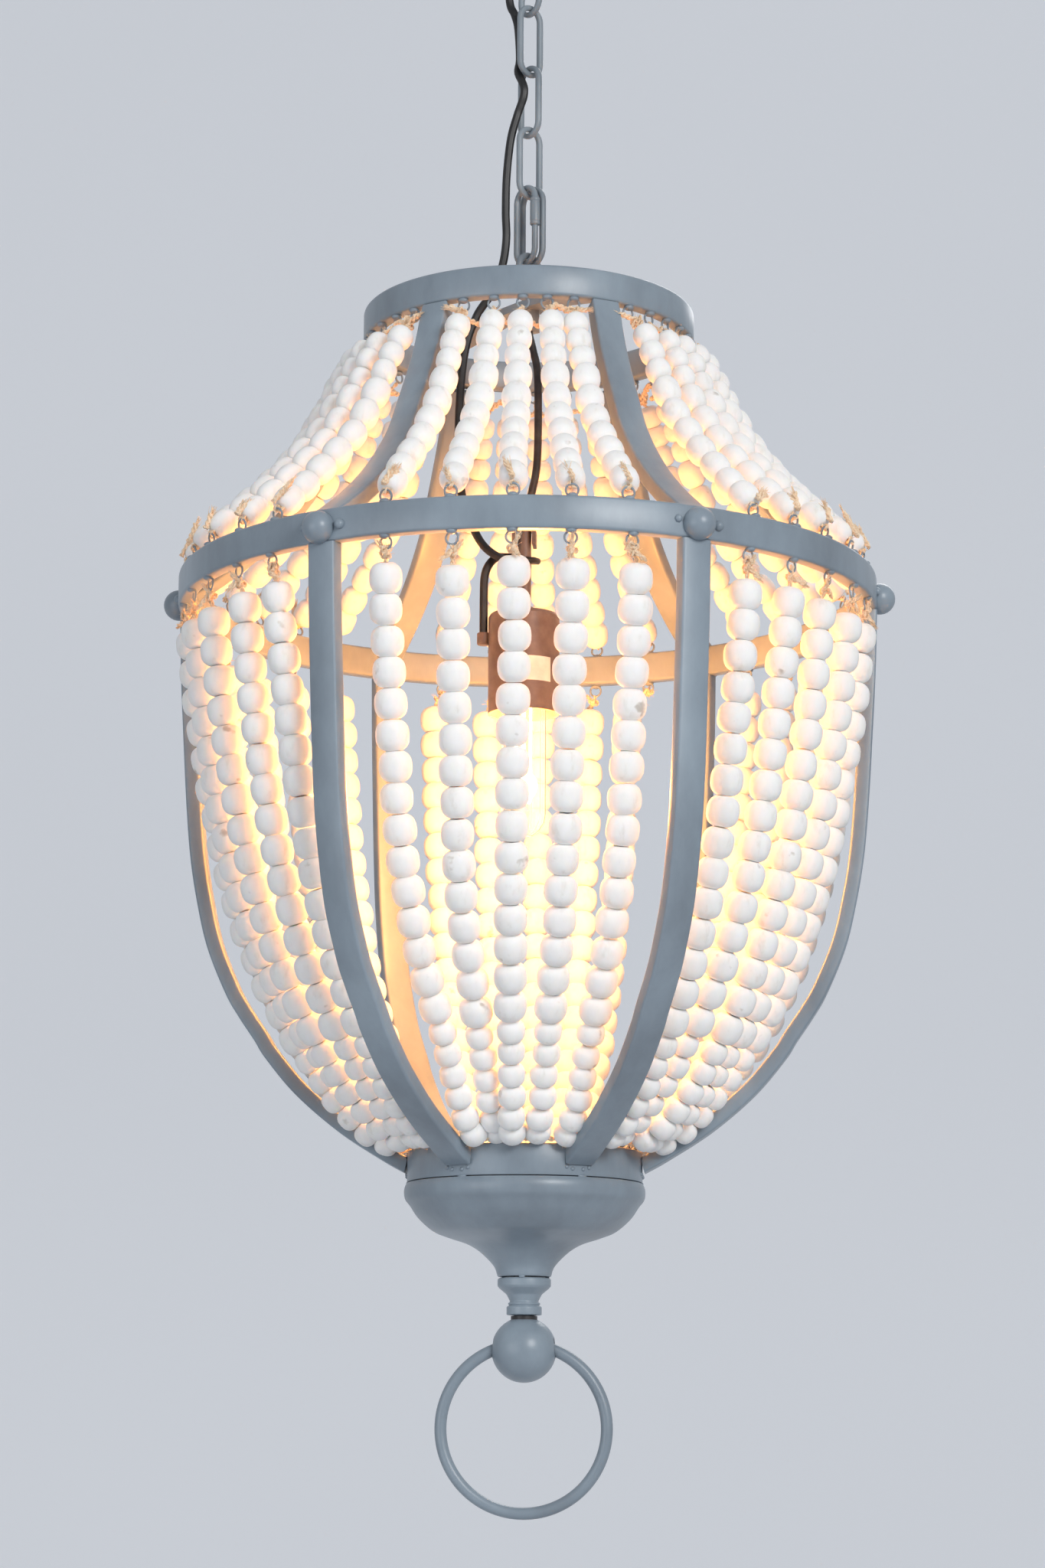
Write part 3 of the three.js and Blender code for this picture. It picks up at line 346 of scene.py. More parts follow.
def sweep(path, section, closed=False, side=None, capped=True, scale=None):
    """A section, given as (across, out) pairs, carried along a path. side is a fixed cross direction."""
    path = np.array(path, float)
    along = tangents(path, closed)
    if side is None:
        s = np.cross(along[0], [0.0, 0.0, 1.0])
        if np.linalg.norm(s) < 0.1:
            s = np.cross(along[0], [0.0, 1.0, 0.0])
        s = unit(s)
    vertices = []
    for i, t in enumerate(along):
        if side is not None:
            s = np.array(side, float)
        s = unit(s - t * (s @ t))
        o = np.cross(s, t)
        k = 1.0 if scale is None else scale[i]
        for a, b in section:
            vertices.append(path[i] + s * a * k + o * b * k)
    return vertices, skin(len(path), len(section), closed, capped)


def circle(radius, sides):
    turns = [2 * math.pi * k / sides for k in range(sides)]
    return [(radius * math.cos(a), radius * math.sin(a)) for a in turns]


def spline(points, count):
    """A smooth curve through the points, at equal steps along it."""
    p = np.array(points, float)
    ends = np.vstack([2 * p[0] - p[1], p, 2 * p[-1] - p[-2]])
    fine = []
    for i in range(1, len(ends) - 2):
        a, b, c, d = ends[i - 1], ends[i], ends[i + 1], ends[i + 2]
        for t in np.linspace(0, 1, 24, endpoint=False):
            square, cube = 2 * a - 5 * b + 4 * c - d, 3 * b - a - 3 * c + d
            fine.append(0.5 * (2 * b + (c - a) * t + square * t ** 2 + cube * t ** 3))
    fine.append(p[-1])
    fine = np.array(fine)
    s = np.concatenate([[0], np.cumsum(steps(fine))])
    at = np.linspace(0, s[-1], count)
    return np.stack([np.interp(at, s, fine[:, k]) for k in range(fine.shape[1])], 1)


class Heap:
    """Several bodies of one material gathered into one mesh."""

    def __init__(self):
        self.vertices = []
        self.faces = []

    def add(self, vertices, faces):
        n = len(self.vertices)
        self.vertices.extend(vertices)
        self.faces.extend(tuple(i + n for i in f) for f in faces)

    def turned(self, profile, segments, x=0.0, turn=0.0):
        """Adds a body turned on a lathe, with its axis at x."""
        vertices, faces = lathe(profile, segments)
        self.add(place(vertices, x, turn=turn), faces)

    def lump(self, size, r, azimuth, z, rows=8, columns=14):
        """Adds a ball at a radius and an angle, or with three half sizes an egg turned to face outwards."""
        vertices, faces = ball(1, rows, columns)
        a = math.radians(azimuth)
        turn = azimuth if np.ndim(size) else 0.0
        self.add(place(np.array(vertices) * size, r * math.cos(a), r * math.sin(a), z, turn), faces)

    def make(self, name, material, body, slot, *nodes):
        return make(name, self.vertices, self.faces, material, body, nodes)


def ball(radius, rows=16, columns=28):
    turns = [math.pi * k / rows for k in range(rows + 1)]
    profile = [(radius * math.sin(a), -radius * math.cos(a)) for a in turns]
    profile[0] = (0, -radius)
    profile[-1] = (0, radius)
    return lathe(profile, columns)


def turned_piece(name, profile, segments, material, body, slot, *nodes):
    """A hollow turned piece, from its closed outline."""
    vertices, faces = lathe(profile, segments, closed=True)
    return make(name, place(vertices), faces, material, body, nodes)


# Camera
CAMERA_TURN = 3.4
CAMERA_DISTANCE = 2299.1
CAMERA_HEIGHT = -551.63
CAMERA_PITCH = 10.605
CAMERA_YAW = -0.066
CAMERA_ROLL = 0.2865
CAMERA_FOCAL = 4766.1
PICTURE_HEIGHT = 2048
SENSOR = 36


def add_camera():
    data = bpy.data.cameras.new("camera")
    data.sensor_width = SENSOR
    data.lens = CAMERA_FOCAL / PICTURE_HEIGHT * SENSOR
    data.clip_start = 0.05
    data.clip_end = 60
    camera = new_object("camera", data)
    turn = math.radians(CAMERA_TURN)
    heading = turn - math.radians(CAMERA_YAW)
    pitch = math.radians(CAMERA_PITCH)
    forward = Vector((-math.sin(heading) * math.cos(pitch), math.cos(heading) * math.cos(pitch), math.sin(pitch)))
    right = Vector((math.cos(heading), math.sin(heading), 0))
    up = right.cross(forward)
    roll = math.radians(CAMERA_ROLL)
    right, up = math.cos(roll) * right + math.sin(roll) * up, math.cos(roll) * up - math.sin(roll) * right
    matrix = Matrix((right, up, -forward)).transposed().to_4x4()
    matrix.translation = vec(CAMERA_DISTANCE, CAMERA_TURN - 90, CAMERA_HEIGHT)
    camera.matrix_world = matrix
    bpy.context.scene.camera = camera


add_camera()

# The flex
HOLDER_X = -2.2
ENTRY_X = -26.2
# The same route as the solid's, from the grip on the rose to the entry boss of the lampholder.
# Each row holds shares of the cord's reach, its depth and its height above the mid ring.
CORD_DIAMETER = 5.4
CORD_REACH = 46
CORD_DEPTH = 11
CORD_GAP = 0.3
CORD_ROUTE_SHARES = [
    (-0.348, 0.182, 1), (-0.339, 0.236, 0.953), (-0.304, 0.364, 0.896), (-0.228, 0.273, 0.875),
    (-0.178, 0.236, 0.853), (-0.152, 0.136, 0.807), (-0.174, 0.055, 0.788), (-0.157, -0.064, 0.779),
    (-0.115, -0.236, 0.769), (-0.078, -0.382, 0.757), (-0.085, -0.364, 0.744), (-0.13, -0.255, 0.731),
    (-0.183, -0.164, 0.716), (-0.27, -0.182, 0.681), (-0.326, -0.127, 0.627), (-0.339, -0.055, 0.574),
    (-0.33, 0, 0.531), (-0.391, 0.182, 0.492), (-0.543, 0.455, 0.455), (-0.761, 0.636, 0.422),
    (-0.926, 0.727, 0.37), (-1, 0.709, 0.283), (-0.991, 0.618, 0.196), (-0.922, 0.455, 0.146),
    (-0.752, 0.145, 0.101), (-0.591, -0.382, 0.074), (-0.38, -0.782, 0.057), (-0.207, -0.964, 0.051),
    (-0.054, -0.982, 0.051), (0.061, -0.764, 0.053), (0.122, -0.182, 0.055), (0.104, 0.455, 0.059),
    (0, 0.891, 0.062), (-0.143, 0.909, 0.066), (-0.296, 0.636, 0.067), (-0.443, 0.309, 0.064),
    (-0.557, 0.127, 0.051), (-0.609, 0.036, 0.033), (-0.617, 0, 0.004), (-0.617, 0, -0.047),
]


def cord_route():
    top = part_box("cord_grip")[0].z / MM - CORD_GAP
    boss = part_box("flex_cord")[0].z / MM
    points = [[x * CORD_REACH, y * CORD_DEPTH, MID + z * (top - MID)] for x, y, z in CORD_ROUTE_SHARES]
    points[-2][0] = points[-1][0] = HOLDER_X + ENTRY_X
    points[-1][2] = boss
    return np.array(points) * MM


def flex():
    """The flex in six parts, cut at the heights midway between the joints."""
    pins = [j["pos_m"][2] for j in frame["joints"] if j["type"] == "hinge" and abs(j["axis"][2]) < 0.5][:6]
    route = spline(cord_route(), 620)
    middles = [(a + b) / 2 for a, b in zip(pins, pins[1:])]
    cuts = [0] + [int(np.argmin(np.abs(route[:, 2] - z))) for z in middles] + [len(route) - 1]
    radius = CORD_DIAMETER / 2 * MM
    section = [(radius * math.cos(a), radius * math.sin(a) * (0.74 + 0.26 * abs(math.cos(a)) ** 0.7))
               for a in np.linspace(0, 2 * math.pi, 20, endpoint=False)]
    for k in range(6):
        path = route[cuts[k]:cuts[k + 1] + 1]
        vertices, faces = sweep(path, section, side=(1.0, 0.2, 0.0), capped=k in (0, 5))
        nodes = ["flex_cord"] if k == 0 else []
        piece = make(f"flex_{k + 1}", vertices, faces, CORD_BLACK, None, nodes=nodes)
        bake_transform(piece)


flex()


# Cage
def ring(name, outer, thick, low, high, corner, node):
    profile = rounded([(outer, low), (outer, high), (outer - thick, high), (outer - thick, low)], corner, 3)
    turned_piece(name, profile, 180, PAINT, "cage", "cage_paint", node)


ring("top_band", 108.2, 10, 170.85, 190.85, 2.0, "top_ring")
ring("mid_band", 225, 10, -10.25, 10.25, 2.0, "mid_ring")

UPPER_RIB = [(108.2, 170.9), (109.8, 168), (119.6, 136.6), (135.6, 100.9), (147.6, 77.1), (168.3, 51.5),
             (191.7, 30.5), (212.1, 15.8), (220.5, 10.6)]
LOWER_RIB = [(225, -10.4), (223.6, -50), (220.9, -95), (218.2, -135), (214.8, -170), (209.6, -200), (202.6, -228),
             (190.5, -257), (181.7, -272), (171.5, -287), (164.5, -298), (145, -321), (118, -344), (90, -362),
             (75.6, -370)]
RIB_WIDTH = 19
RIB_THICKNESS = 9.5
COLLAR_RADIUS = 74
COLLAR_TOP = -357
COLLAR_LOW = -376.5


def rib(name, outer_line, angle, node):
    """A flat bar along a line; where it reaches the collar its inner side lies against the collar."""
    line = spline(outer_line, 130)
    along = tangents(line)
    inward = np.stack([along[:, 1], -along[:, 0]], 1)
    outline = rounded([(-RIB_WIDTH / 2, 0), (RIB_WIDTH / 2, 0), (RIB_WIDTH / 2, RIB_THICKNESS),
                       (-RIB_WIDTH / 2, RIB_THICKNESS)], 1.5, 3)
    vertices = []
    for (r, z), (ir, iz) in zip(line, inward):
        for across, depth in outline:
            out, height = r + ir * depth, z + iz * depth
            limit = math.sqrt((COLLAR_RADIUS + 0.3) ** 2 - across ** 2)
            if height < COLLAR_TOP + 0.3 and out < limit:
                out = limit
            vertices.append(outward(angle, out, height + MID, across) * MM)
    faces = [f[:1] + f[:0:-1] for f in skin(len(line), len(outline))]
    make(name, vertices, faces, PAINT, "cage", [node])


RIB_ANGLES = [-60 + 60 * i for i in range(6)]
PANEL_ANGLES = [-90 + 60 * i for i in range(6)]
for i, angle in enumerate(RIB_ANGLES):
    rib(f"upper_bar_{i + 1}", UPPER_RIB, angle, f"upper_rib_{i + 1}")
    rib(f"lower_bar_{i + 1}", LOWER_RIB, angle, f"lower_rib_{i + 1}")


def knobs():
    """The balls on the mid ring, each with the two lumps of its weld."""
    for i, angle in enumerate(RIB_ANGLES):
        heap = Heap()
        heap.lump(10, 227, angle, -1.6, 16, 28)
        heap.lump(3.2, 225.6, angle + 3.6, -1.0)
        heap.lump(2.4, 225.4, angle - 3.3, 0.5)
        heap.make(f"ball_knob_{i + 1}", PAINT, "cage", "cage_paint", f"knob_{i + 1}")


knobs()


# Bowl and finials, with the tie rod's bore through them
ROD_BORE = 3.6
PULL_RING_BORE = 6.2
PULL_RING_RADIUS = 51.75
PULL_RING_WIRE = 3.75


def bowl_parts():
    inner_collar = COLLAR_RADIUS - 6
    collar = rounded([(COLLAR_RADIUS, COLLAR_LOW, 0.5), (COLLAR_RADIUS, COLLAR_TOP), (inner_collar, COLLAR_TOP),
                      (inner_collar, COLLAR_LOW, 0.5)], 1.2, 3)
    turned_piece("collar_band", collar, 144, PAINT, "cage", "cage_paint", "collar_ring")
    # Painted shadow: a dark ring behind the seam between the collar and the bowl, standing in for the shade in that
    # gap.
    seam = [(69, -379.6), (70.6, -379.6), (70.6, -375.4), (69, -375.4)]
    turned_piece("seam_painted_shadow", seam, 144, DARK, "cage", "cage_paint")
    outer = spline([(74.2, -377.1), (75.3, -379.2), (75.8, -382.4), (75, -387), (71.9, -391), (66.6, -398.6),
                    (57.7, -406.3), (48.5, -410.2), (36.9, -414), (29.9, -417.8), (25.1, -421.7), (21.3, -425.5),
                    (18.4, -429.3), (16.8, -434.2)], 56)
    inner = [(max(r - 2.2, ROD_BORE), min(z + 1.6, -378.4)) for r, z in outer]
    inner[0] = (71.6, -377.2)
    profile = [tuple(p) for p in outer]
    profile += [(16.4, -434.6), (ROD_BORE, -434.6), (ROD_BORE, -432.2)] + inner[::-1][2:]
    turned_piece("spun_bowl", profile, 144, PAINT, "cage", "cage_paint", "bowl")
    neck = [(ROD_BORE, -435.5), (15.8, -435.5, 0.5), (16.7, -436.4, 0.8), (16.7, -440.4, 1.2), (15.6, -441.8, 1.2),
            (11, -445.6, 4), (9, -449.6, 1.5), (9.1, -450.4, 0.4), (10, -450.9, 0.4), (10, -451.8, 0.4),
            (9.3, -452.3, 0.3), (10.6, -453, 0.5), (11, -453.6, 0.5), (11, -458.3, 0.6),
            (ROD_BORE, -458.9)]
    turned_piece("turned_neck", rounded(neck, 0.6, 3, closed=False), 72, PAINT, "cage", "cage_paint", "neck_finial")
    # Painted shadow: a dark ring between the neck's foot and the ball, standing in for the shade of the recess there.
    neck_shadow_outline = [(ROD_BORE, -459), (8.3, -459), (8.3, -461.2), (ROD_BORE, -460.2)]
    turned_piece("neck_painted_shadow_ring", neck_shadow_outline, 48, DARK, "cage", "cage_paint")


bowl_parts()


def weld_dots():
    """Small beads of weld under the ribs' feet, and the tacks that bridge the two seams."""
    heap = Heap()
    for angle in RIB_ANGLES:
        for step, low in ((-6.4, -371.3), (-3.4, -372.4), (2.2, -372.6), (5.4, -371.6)):
            heap.lump(1.3, 73.9, angle + step, low, 6, 10)
        heap.lump((1.0, 3.0, 1.2), 73.6, angle + 2, -376.8)
    for angle in (-92, 28, 148):
        heap.lump((1.2, 2.0, 0.9), 15.9, angle, -435.0)
    heap.make("weld_dots", PAINT, "cage", "cage_paint")


weld_dots()


def finial_ball():
    """A turned ball, bored through sideways for the pull ring and from above for the tie rod."""
    centre = (foot_of("finial_ball") + top_of("finial_ball")) / 2 + 0.9
    vertices, faces = ball(20.3, 40, 72)
    piece = make("bored_ball", place(vertices, 0, 0, centre), faces, PAINT, None)
    bore_height = top_of("pull_ring") - PULL_RING_WIRE - 2
    tools = []
    for radius, half, at, sideways in ((PULL_RING_BORE, 30, bore_height, True), (ROD_BORE, 11, centre + 21, False)):
        vertices, faces = lathe([(0, -half), (radius, -half), (radius, half), (0, half)], 40)
        if sideways:
            vertices = [np.array([v[2], v[1], v[0]]) for v in vertices]
            faces = [f[::-1] for f in faces]
        mesh = bpy.data.meshes.new("boring_tool")
        mesh.from_pydata([tuple(v) for v in place(vertices, 0, 0, at)], [], faces)
        tool = new_object("boring_tool", mesh)
        cutter = piece.modifiers.new("bore", "BOOLEAN")
        cutter.operation = "DIFFERENCE"
        cutter.object = tool
        tools.append(tool)
    bpy.context.view_layer.update()
    bored = bpy.data.meshes.new_from_object(piece.evaluated_get(bpy.context.evaluated_depsgraph_get()))
    piece.modifiers.clear()
    piece.data = bored
    for tool in tools:
        bpy.data.objects.remove(tool)
    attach(piece, "cage")
    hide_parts("finial_ball")


finial_ball()


def pull_ring():
    middle = (foot_of("pull_ring") + top_of("pull_ring")) / 2
    path = [np.array([x, 0, z + middle + MID]) * MM for x, z in circle(PULL_RING_RADIUS, 120)]
    vertices, faces = sweep(path, circle(PULL_RING_WIRE * MM, 20), closed=True, side=(0, 1, 0))
    make("hand_ring", vertices, faces, PAINT, "pull_ring", ["pull_ring"])


pull_ring()


# Chain
CHAIN_WIRE = 4.1
CROWN_THINNING = 0.1
CROSS_TURN = 45


def link_path(width, length, top, turn, wire, per_arc=14):
    """The wire's centre line: two half circles and two straights, from table heights."""
    r = (width - wire) / 2
    upper = top - wire / 2 - r
    lower = upper - (length - width)
    pts = [(r * math.cos(a), upper + r * math.sin(a)) for a in np.linspace(0, math.pi, per_arc)]
    pts += [(-r, upper - (upper - lower) * t) for t in np.linspace(0, 1, 8)[1:-1]]
    pts += [(r * math.cos(a), lower + r * math.sin(a)) for a in np.linspace(math.pi, 2 * math.pi, per_arc)]
    pts += [(r, lower + (upper - lower) * t) for t in np.linspace(0, 1, 8)[1:-1]]
    c, s = math.cos(math.radians(turn)), math.sin(math.radians(turn))
    return [np.array([x * c, x * s, z + MID]) * MM for x, z in pts], (-s, c, 0)


def soft_square(size, corner=1.1, steps=3):
    h = size / 2
    return [(p[0] * MM, p[1] * MM) for p in rounded([(-h, -h), (h, -h), (h, h), (-h, h)], corner, steps)]


def node_middle(node):
    """The middle of a node's box, in table millimetres."""
    low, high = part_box(node)
    middle = (low + high) / 2 / MM
    return middle.x, middle.y, middle.z - MID


def steel_loop(name, body, node, width, length, wire, turn, section):
    """A chain link, centred where its node is, with bows a little thinner than its sides."""
    x, y, z = node_middle(node)
    path, side = link_path(width, length, z + length / 2, turn, wire)
    path = [p + np.array([x, y, 0]) * MM for p in path]
    straight, bow = (length - width) / 2, (width - wire) / 2
    crown = [max(abs(p[2] / MM - MID - z) - straight, 0) / bow for p in path]
    thickness = [1 - CROWN_THINNING * share for share in crown]
    vertices, faces = sweep(path, section, closed=True, side=side, scale=thickness)
    make(name, vertices, faces, CHAIN_PAINT, body, [node])


def eye_with_shank(width, length, high, wire, foot, head):
    """A loop of round wire at 45 degrees, with the shank that carries it."""
    heap = Heap()
    path, side = link_path(width, length, high, CROSS_TURN, wire)
    heap.add(*sweep(path, circle(wire / 2 * MM, 14), closed=True, side=side))
    heap.turned([(0, foot), (4, foot), (4, head), (0, head)], 24)
    return heap


def chain():
    """The links, the screw link with its sleeve and its twin, and the loop on top of the cage."""
    square = soft_square(CHAIN_WIRE, 1.6)
    for i in range(1, 5):
        steel_loop(f"steel_link_{i}", f"link_{i}", f"chain_link_{i}", 21.5, 51.1, CHAIN_WIRE,
                   -CROSS_TURN if i % 2 else CROSS_TURN, square)
    steel_loop("quick_link", "screw_link", "screw_link", 22, 56.2, 4.2, -CROSS_TURN, circle(2.1 * MM, 14))
    steel_loop("spare_link", "screw_link", "twin_link", 24, 56.2, CHAIN_WIRE, -CROSS_TURN, square)
    half = (top_of("screw_link_sleeve") - foot_of("screw_link_sleeve")) / 2
    lower = [(2.3, -half), (2.8, -half, 0.2), (3.3, -half + 0.7, 0.2), (3.3, -half + 2.2, 0.1),
             (3.1, -half + 2.5, 0.1), (3.1, -half + 2.9, 0.1), (3.3, -half + 3.2, 0.1)]
    outline = lower + [(r, -z, *corner) for r, z, *corner in lower[::-1]]
    vertices, faces = lathe(rounded(outline, 0.0, 2, closed=False), 28, closed=True)
    make("threaded_sleeve", place(vertices, *node_middle("screw_link_sleeve")), faces, CHAIN_PAINT, "sleeve",
         ["screw_link_sleeve"])
    high = top_of("hanging_loop")
    eye = eye_with_shank(22, 35.5, high, 4.5, foot_of("hanging_loop"), high - 34)
    eye.make("eye_and_shank", CHAIN_PAINT, "cage", "chain_paint", "hanging_loop")


chain()


def rose_parts():
    ceiling = -MID
    outline = [(4.6, -28), (17, -28, 6), (41.6, -19.8, 14), (51.6, -6, 6), (52, 0, 0.3), (49.8, 0, 0.3),
               (49.4, -5.6, 5), (39.4, -17.6, 12), (17, -25.6, 6), (4.6, -25.6)]
    points = [(r, z + ceiling) for r, z in rounded(outline, 0.0, 6, closed=False)]
    turned_piece("rose_cover", points, 96, PAINT, "rose", "cage_paint", "ceiling_rose")
    eye = eye_with_shank(22, 27.7, ceiling - 28.3, 4.6, ceiling - 31.5, ceiling - 2.8)
    low, high = ceiling - 25.3, ceiling - 20.3
    hexagon = rounded([(9, low, 0.4), (9, high, 0.4), (0, high, 0)], 0.4, 2, closed=False)
    eye.turned([(0, low)] + [tuple(p) for p in hexagon], 6, turn=30)
    eye.make("ceiling_eye", CHAIN_PAINT, "rose", "chain_paint", "ceiling_hook")


rose_parts()


# Beads, twine and wire loops
UPPER_LINE = [(104.5, 170), (106.5, 166.5), (112.5, 158.5), (119.4, 149), (127, 134), (135, 115.5), (144, 98),
              (155, 81.5), (168, 66), (183.5, 50.5), (200, 35), (209, 26.5), (217, 19)]
LOWER_LINE = [(219, -17), (217.5, -24), (214.6, -45), (209.5, -85), (203.4, -119), (196.4, -155), (187.4, -190),
              (176.4, -225), (161.4, -260), (142.6, -293), (120.6, -325), (98, -347.5), (87, -352.5), (77, -355)]
FRONT_LINE = [(219, -17), (217, -24), (212, -45), (201.5, -85), (193.5, -119), (185.5, -155), (176.5, -190),
              (163.5, -225), (146.5, -257), (126.5, -288), (106.5, -321), (94.5, -341.5), (85, -350), (76.5, -354)]
LARGE = (9.45, 18.7)
SMALL = (7.7, 14.4)
FLAT_SHARE = 0.46
HOLE = 1.25
UPPER_LEAD = 18.5
LOWER_LEAD = 10.7
STRAND_STEP = 9.7
TOP_LOOP = (104.4, 166.7)
MID_TOP_LOOP = (219.4, 14.4)
MID_LOW_LOOP = (219.6, -14.4)
COLLAR_LOOP = (72.7, -353.0)
LOOP_RADIUS = 3.75
LOOP_WIRE = 0.68
# The twine's cross section is sampled every step, and its plies wind once in a lay.
TWINE_STEP = 0.9
TWINE_LAY = 7.0
PLY_SIDES = 5


def bead_shape(radius, length, columns=22, rows=12, fullness=2.6):
    """A turned bead: a full, slightly squared ball with flat ends round its drilled hole."""
    half = length / 2
    power = 2 / fullness
    start = math.asin(FLAT_SHARE ** (1 / power))
    rim = [(HOLE, half - 1.6), (HOLE + 0.1, half - 0.25), (FLAT_SHARE * radius * 0.9, half)]
    profile = [(r, -z) for r, z in rim]
    for k in range(rows + 1):
        a = start + (math.pi - 2 * start) * k / rows
        drop = math.copysign((abs(math.cos(a)) / math.cos(start)) ** power, -math.cos(a))
        profile.append((radius * math.sin(a) ** power, half * drop * 0.992))
    return lathe(profile + rim[::-1], columns)


LARGE_SHAPE = bead_shape(*LARGE)
SMALL_SHAPE = bead_shape(*SMALL)


def hairs(heap, at, direction, count, reach, spread, thick=0.17, curl=0.45):
    """Loose fibres that leave a knot or a twine's end."""
    for _ in range(count):
        d = unit(np.array(direction, float) + rng.normal(0, spread, 3))
        bend = rng.normal(0, curl, 3)
        length = reach * rng.uniform(0.45, 1.0) * MM
        path = [np.array(at) + (d * t + bend * t * t * 0.5) * length for t in np.linspace(0, 1, 5)]
        heap.add(*sweep(path, circle(thick * MM, 3), scale=[1, 0.95, 0.85, 0.7, 0.4]))


def twine(heap, path, radius=1.15):
    """A two-ply cord whose plies wind round each other."""
    path = np.array(path, float)
    total = steps(path).sum()
    if total < 1e-6:
        return
    count = max(int(total / (TWINE_STEP * MM)), 4)
    line = spline(path, count)
    along = tangents(line)
    s = unit(np.cross(along[0], [0.3, 0.4, 0.87]))
    vertices = [[], []]
    for i, t in enumerate(along):
        s = unit(s - t * (s @ t))
        o = np.cross(s, t)
        turn = i * TWINE_STEP * 2 * math.pi / TWINE_LAY
        for ply in (0, 1):
            a = turn + math.pi * ply
            centre = line[i] + (s * math.cos(a) + o * math.sin(a)) * radius * 0.5 * MM
            for b in np.arange(PLY_SIDES) * 2 * math.pi / PLY_SIDES:
                vertices[ply].append(centre + (s * math.cos(b) + o * math.sin(b)) * radius * 0.62 * MM)
    for ply in (0, 1):
        heap.add(vertices[ply], skin(count, PLY_SIDES))


def fuzz(heap, path, spacing=2.2, reach=3.2):
    """Short fibres that stand off a run of twine."""
    path = np.array(path, float)
    line = spline(path, max(int(steps(path).sum() / (spacing * MM)), 3))
    for point, ahead in zip(line, line[1:]):
        hairs(heap, point, unit(ahead - point), 2, reach, 0.9, 0.14)


def knot(heap, at, radius, direction, fray):
    """An overhand knot: a tight three-lobed loop of twine with loose fibres round it."""
    tilt = rng.uniform(0, 2 * math.pi)
    lean = rng.normal(0, 0.35, 2)
    c, s = math.cos(tilt), math.sin(tilt)
    path = []
    for t in np.linspace(0, 2 * math.pi, 22):
        x = math.sin(t) + 1.6 * math.sin(2 * t)
        y = math.cos(t) - 1.6 * math.cos(2 * t)
        z = -1.1 * math.sin(3 * t)
        p = np.array([x * c - y * s, x * s + y * c + lean[0] * z, z * 1.2 + lean[1] * x]) * radius / 2.7 * MM
        path.append(np.array(at) + p)
    twine(heap, path, 1.0)
    hairs(heap, at, direction, fray, 6, 0.9)


def wire_loop(heap, r, z, azimuth, lean=0.0):
    """A small welded ring of wire that faces outwards."""
    across = outward(azimuth, 0, 0, 1)
    up = outward(azimuth, math.sin(lean), math.cos(lean))
    path = [vec(r, azimuth, z) + (across * x + up * y) * MM for x, y in circle(LOOP_RADIUS, 20)]
    heap.add(*sweep(path, circle(LOOP_WIRE * MM, 8), closed=True, side=np.cross(across, up)))


def strand(beads, line, kinds, azimuth, foot_azimuth, start, sway, girth, tuck=0.0):
    """Beads threaded along a line, from a start distance, between the azimuths of its head and foot."""
    curve = spline(line, 400)
    s = np.concatenate([[0], np.cumsum(steps(curve))])
    total = s[-1]

    def at(d):
        r = np.interp(d, s, curve[:, 0])
        z = np.interp(d, s, curve[:, 1])
        share = min(max(d / total, 0), 1)
        extra = sway * math.sin(math.pi * share) ** 0.5
        inset = tuck * max(share * 2.2 - 1.2, 0)
        return vec(r - inset, azimuth + (foot_azimuth - azimuth) * share + extra, z + inset * 0.4)

    d = start
    first = last = None
    for radius, length in kinds:
        a, b = at(d), at(d + length)
        middle = (a + b) / 2
        axis = unit(unit(b - a) + rng.normal(0, 0.035, 3))
        side = np.cross(axis, [0.0, 0.0, 1.0])
        if np.linalg.norm(side) < 0.05:
            side = np.cross(axis, outward(azimuth, 1, 0))
        side = unit(side)
        front = np.cross(axis, side)
        spin = rng.uniform(0, 2 * math.pi)
        s2 = side * math.cos(spin) + front * math.sin(spin)
        f2 = np.cross(axis, s2)
        is_large = radius > 8.5
        size = rng.normal(girth[1] if is_large else girth[0], 0.012)
        shape = LARGE_SHAPE if is_large else SMALL_SHAPE
        v = np.array(shape[0]) * MM
        middle = middle + rng.normal(0, 0.22, 3) * MM
        beads.add(list(middle + v[:, :1] * s2 * size + v[:, 1:2] * f2 * size + v[:, 2:] * axis * 0.995), shape[1])
        first = a if first is None else first
        last = b
        d += length
    return first, last


def tuft(heap, at, direction, length, radius=1.1):
    """A frayed end of twine: the twine itself in a sheaf of loose fibres."""
    d = unit(np.array(direction, float))
    side = rng.normal(0, 0.25, 3)
    line = [np.array(at) + (d * t + side * t * t) * length * MM for t in np.linspace(0, 1, 5)]
    twine(heap, line[:4], radius)
    twine(heap, [p + side * 2.5 * MM for p in line[:4]], radius * 0.8)
    for k, share in ((0, 1.05), (1, 0.85), (2, 0.62), (3, 0.4)):
        hairs(heap, line[k], d + side * 0.5, 12, length * share, 0.11, 0.24, 0.12)


# How far the strands and their loops stand aside of their even places, in degrees. The leads and the
# tucks are in millimetres.
FRONT_HEADS = (0.7, 2.3, 1.1, 0.6, -2.0)
FRONT_TOP_LOOPS = (-0.3, 1.0, 1.3, 0.0, -0.4)
FRONT_FEET = (0.2, 1.1, 1.1, 0.5, -0.3)
FRONT_LOW_LOOPS = (0.3, 1.4, 1.0, 0.3, 0.3)
FRONT_LOW_HEADS = (0.7, 1.6, 1.0, 0.5, 1.0)
FRONT_LOW_FEET = (0.7, -0.4, -2.1, -0.8, 2.4)
FRONT_LOW_LEADS = (-2.2, 2.4, -2.2, -1.3, -1.3)
FRONT_LOW_SWAYS = (-2.7, -0.8, 1.0, 1.0, 0.9)
BACK_LOW_SHIFTS = (3.4, 1.2, 0.6, 1.4, 1.5)
LOW_TUCKS = (0, 8, 0, 3, 0)

# How much fuller than their turned shape the small and the large beads are round their holes.
UPPER_GIRTH = (1.04, 0.945)
LOWER_GIRTH = (1.11, 1.07)


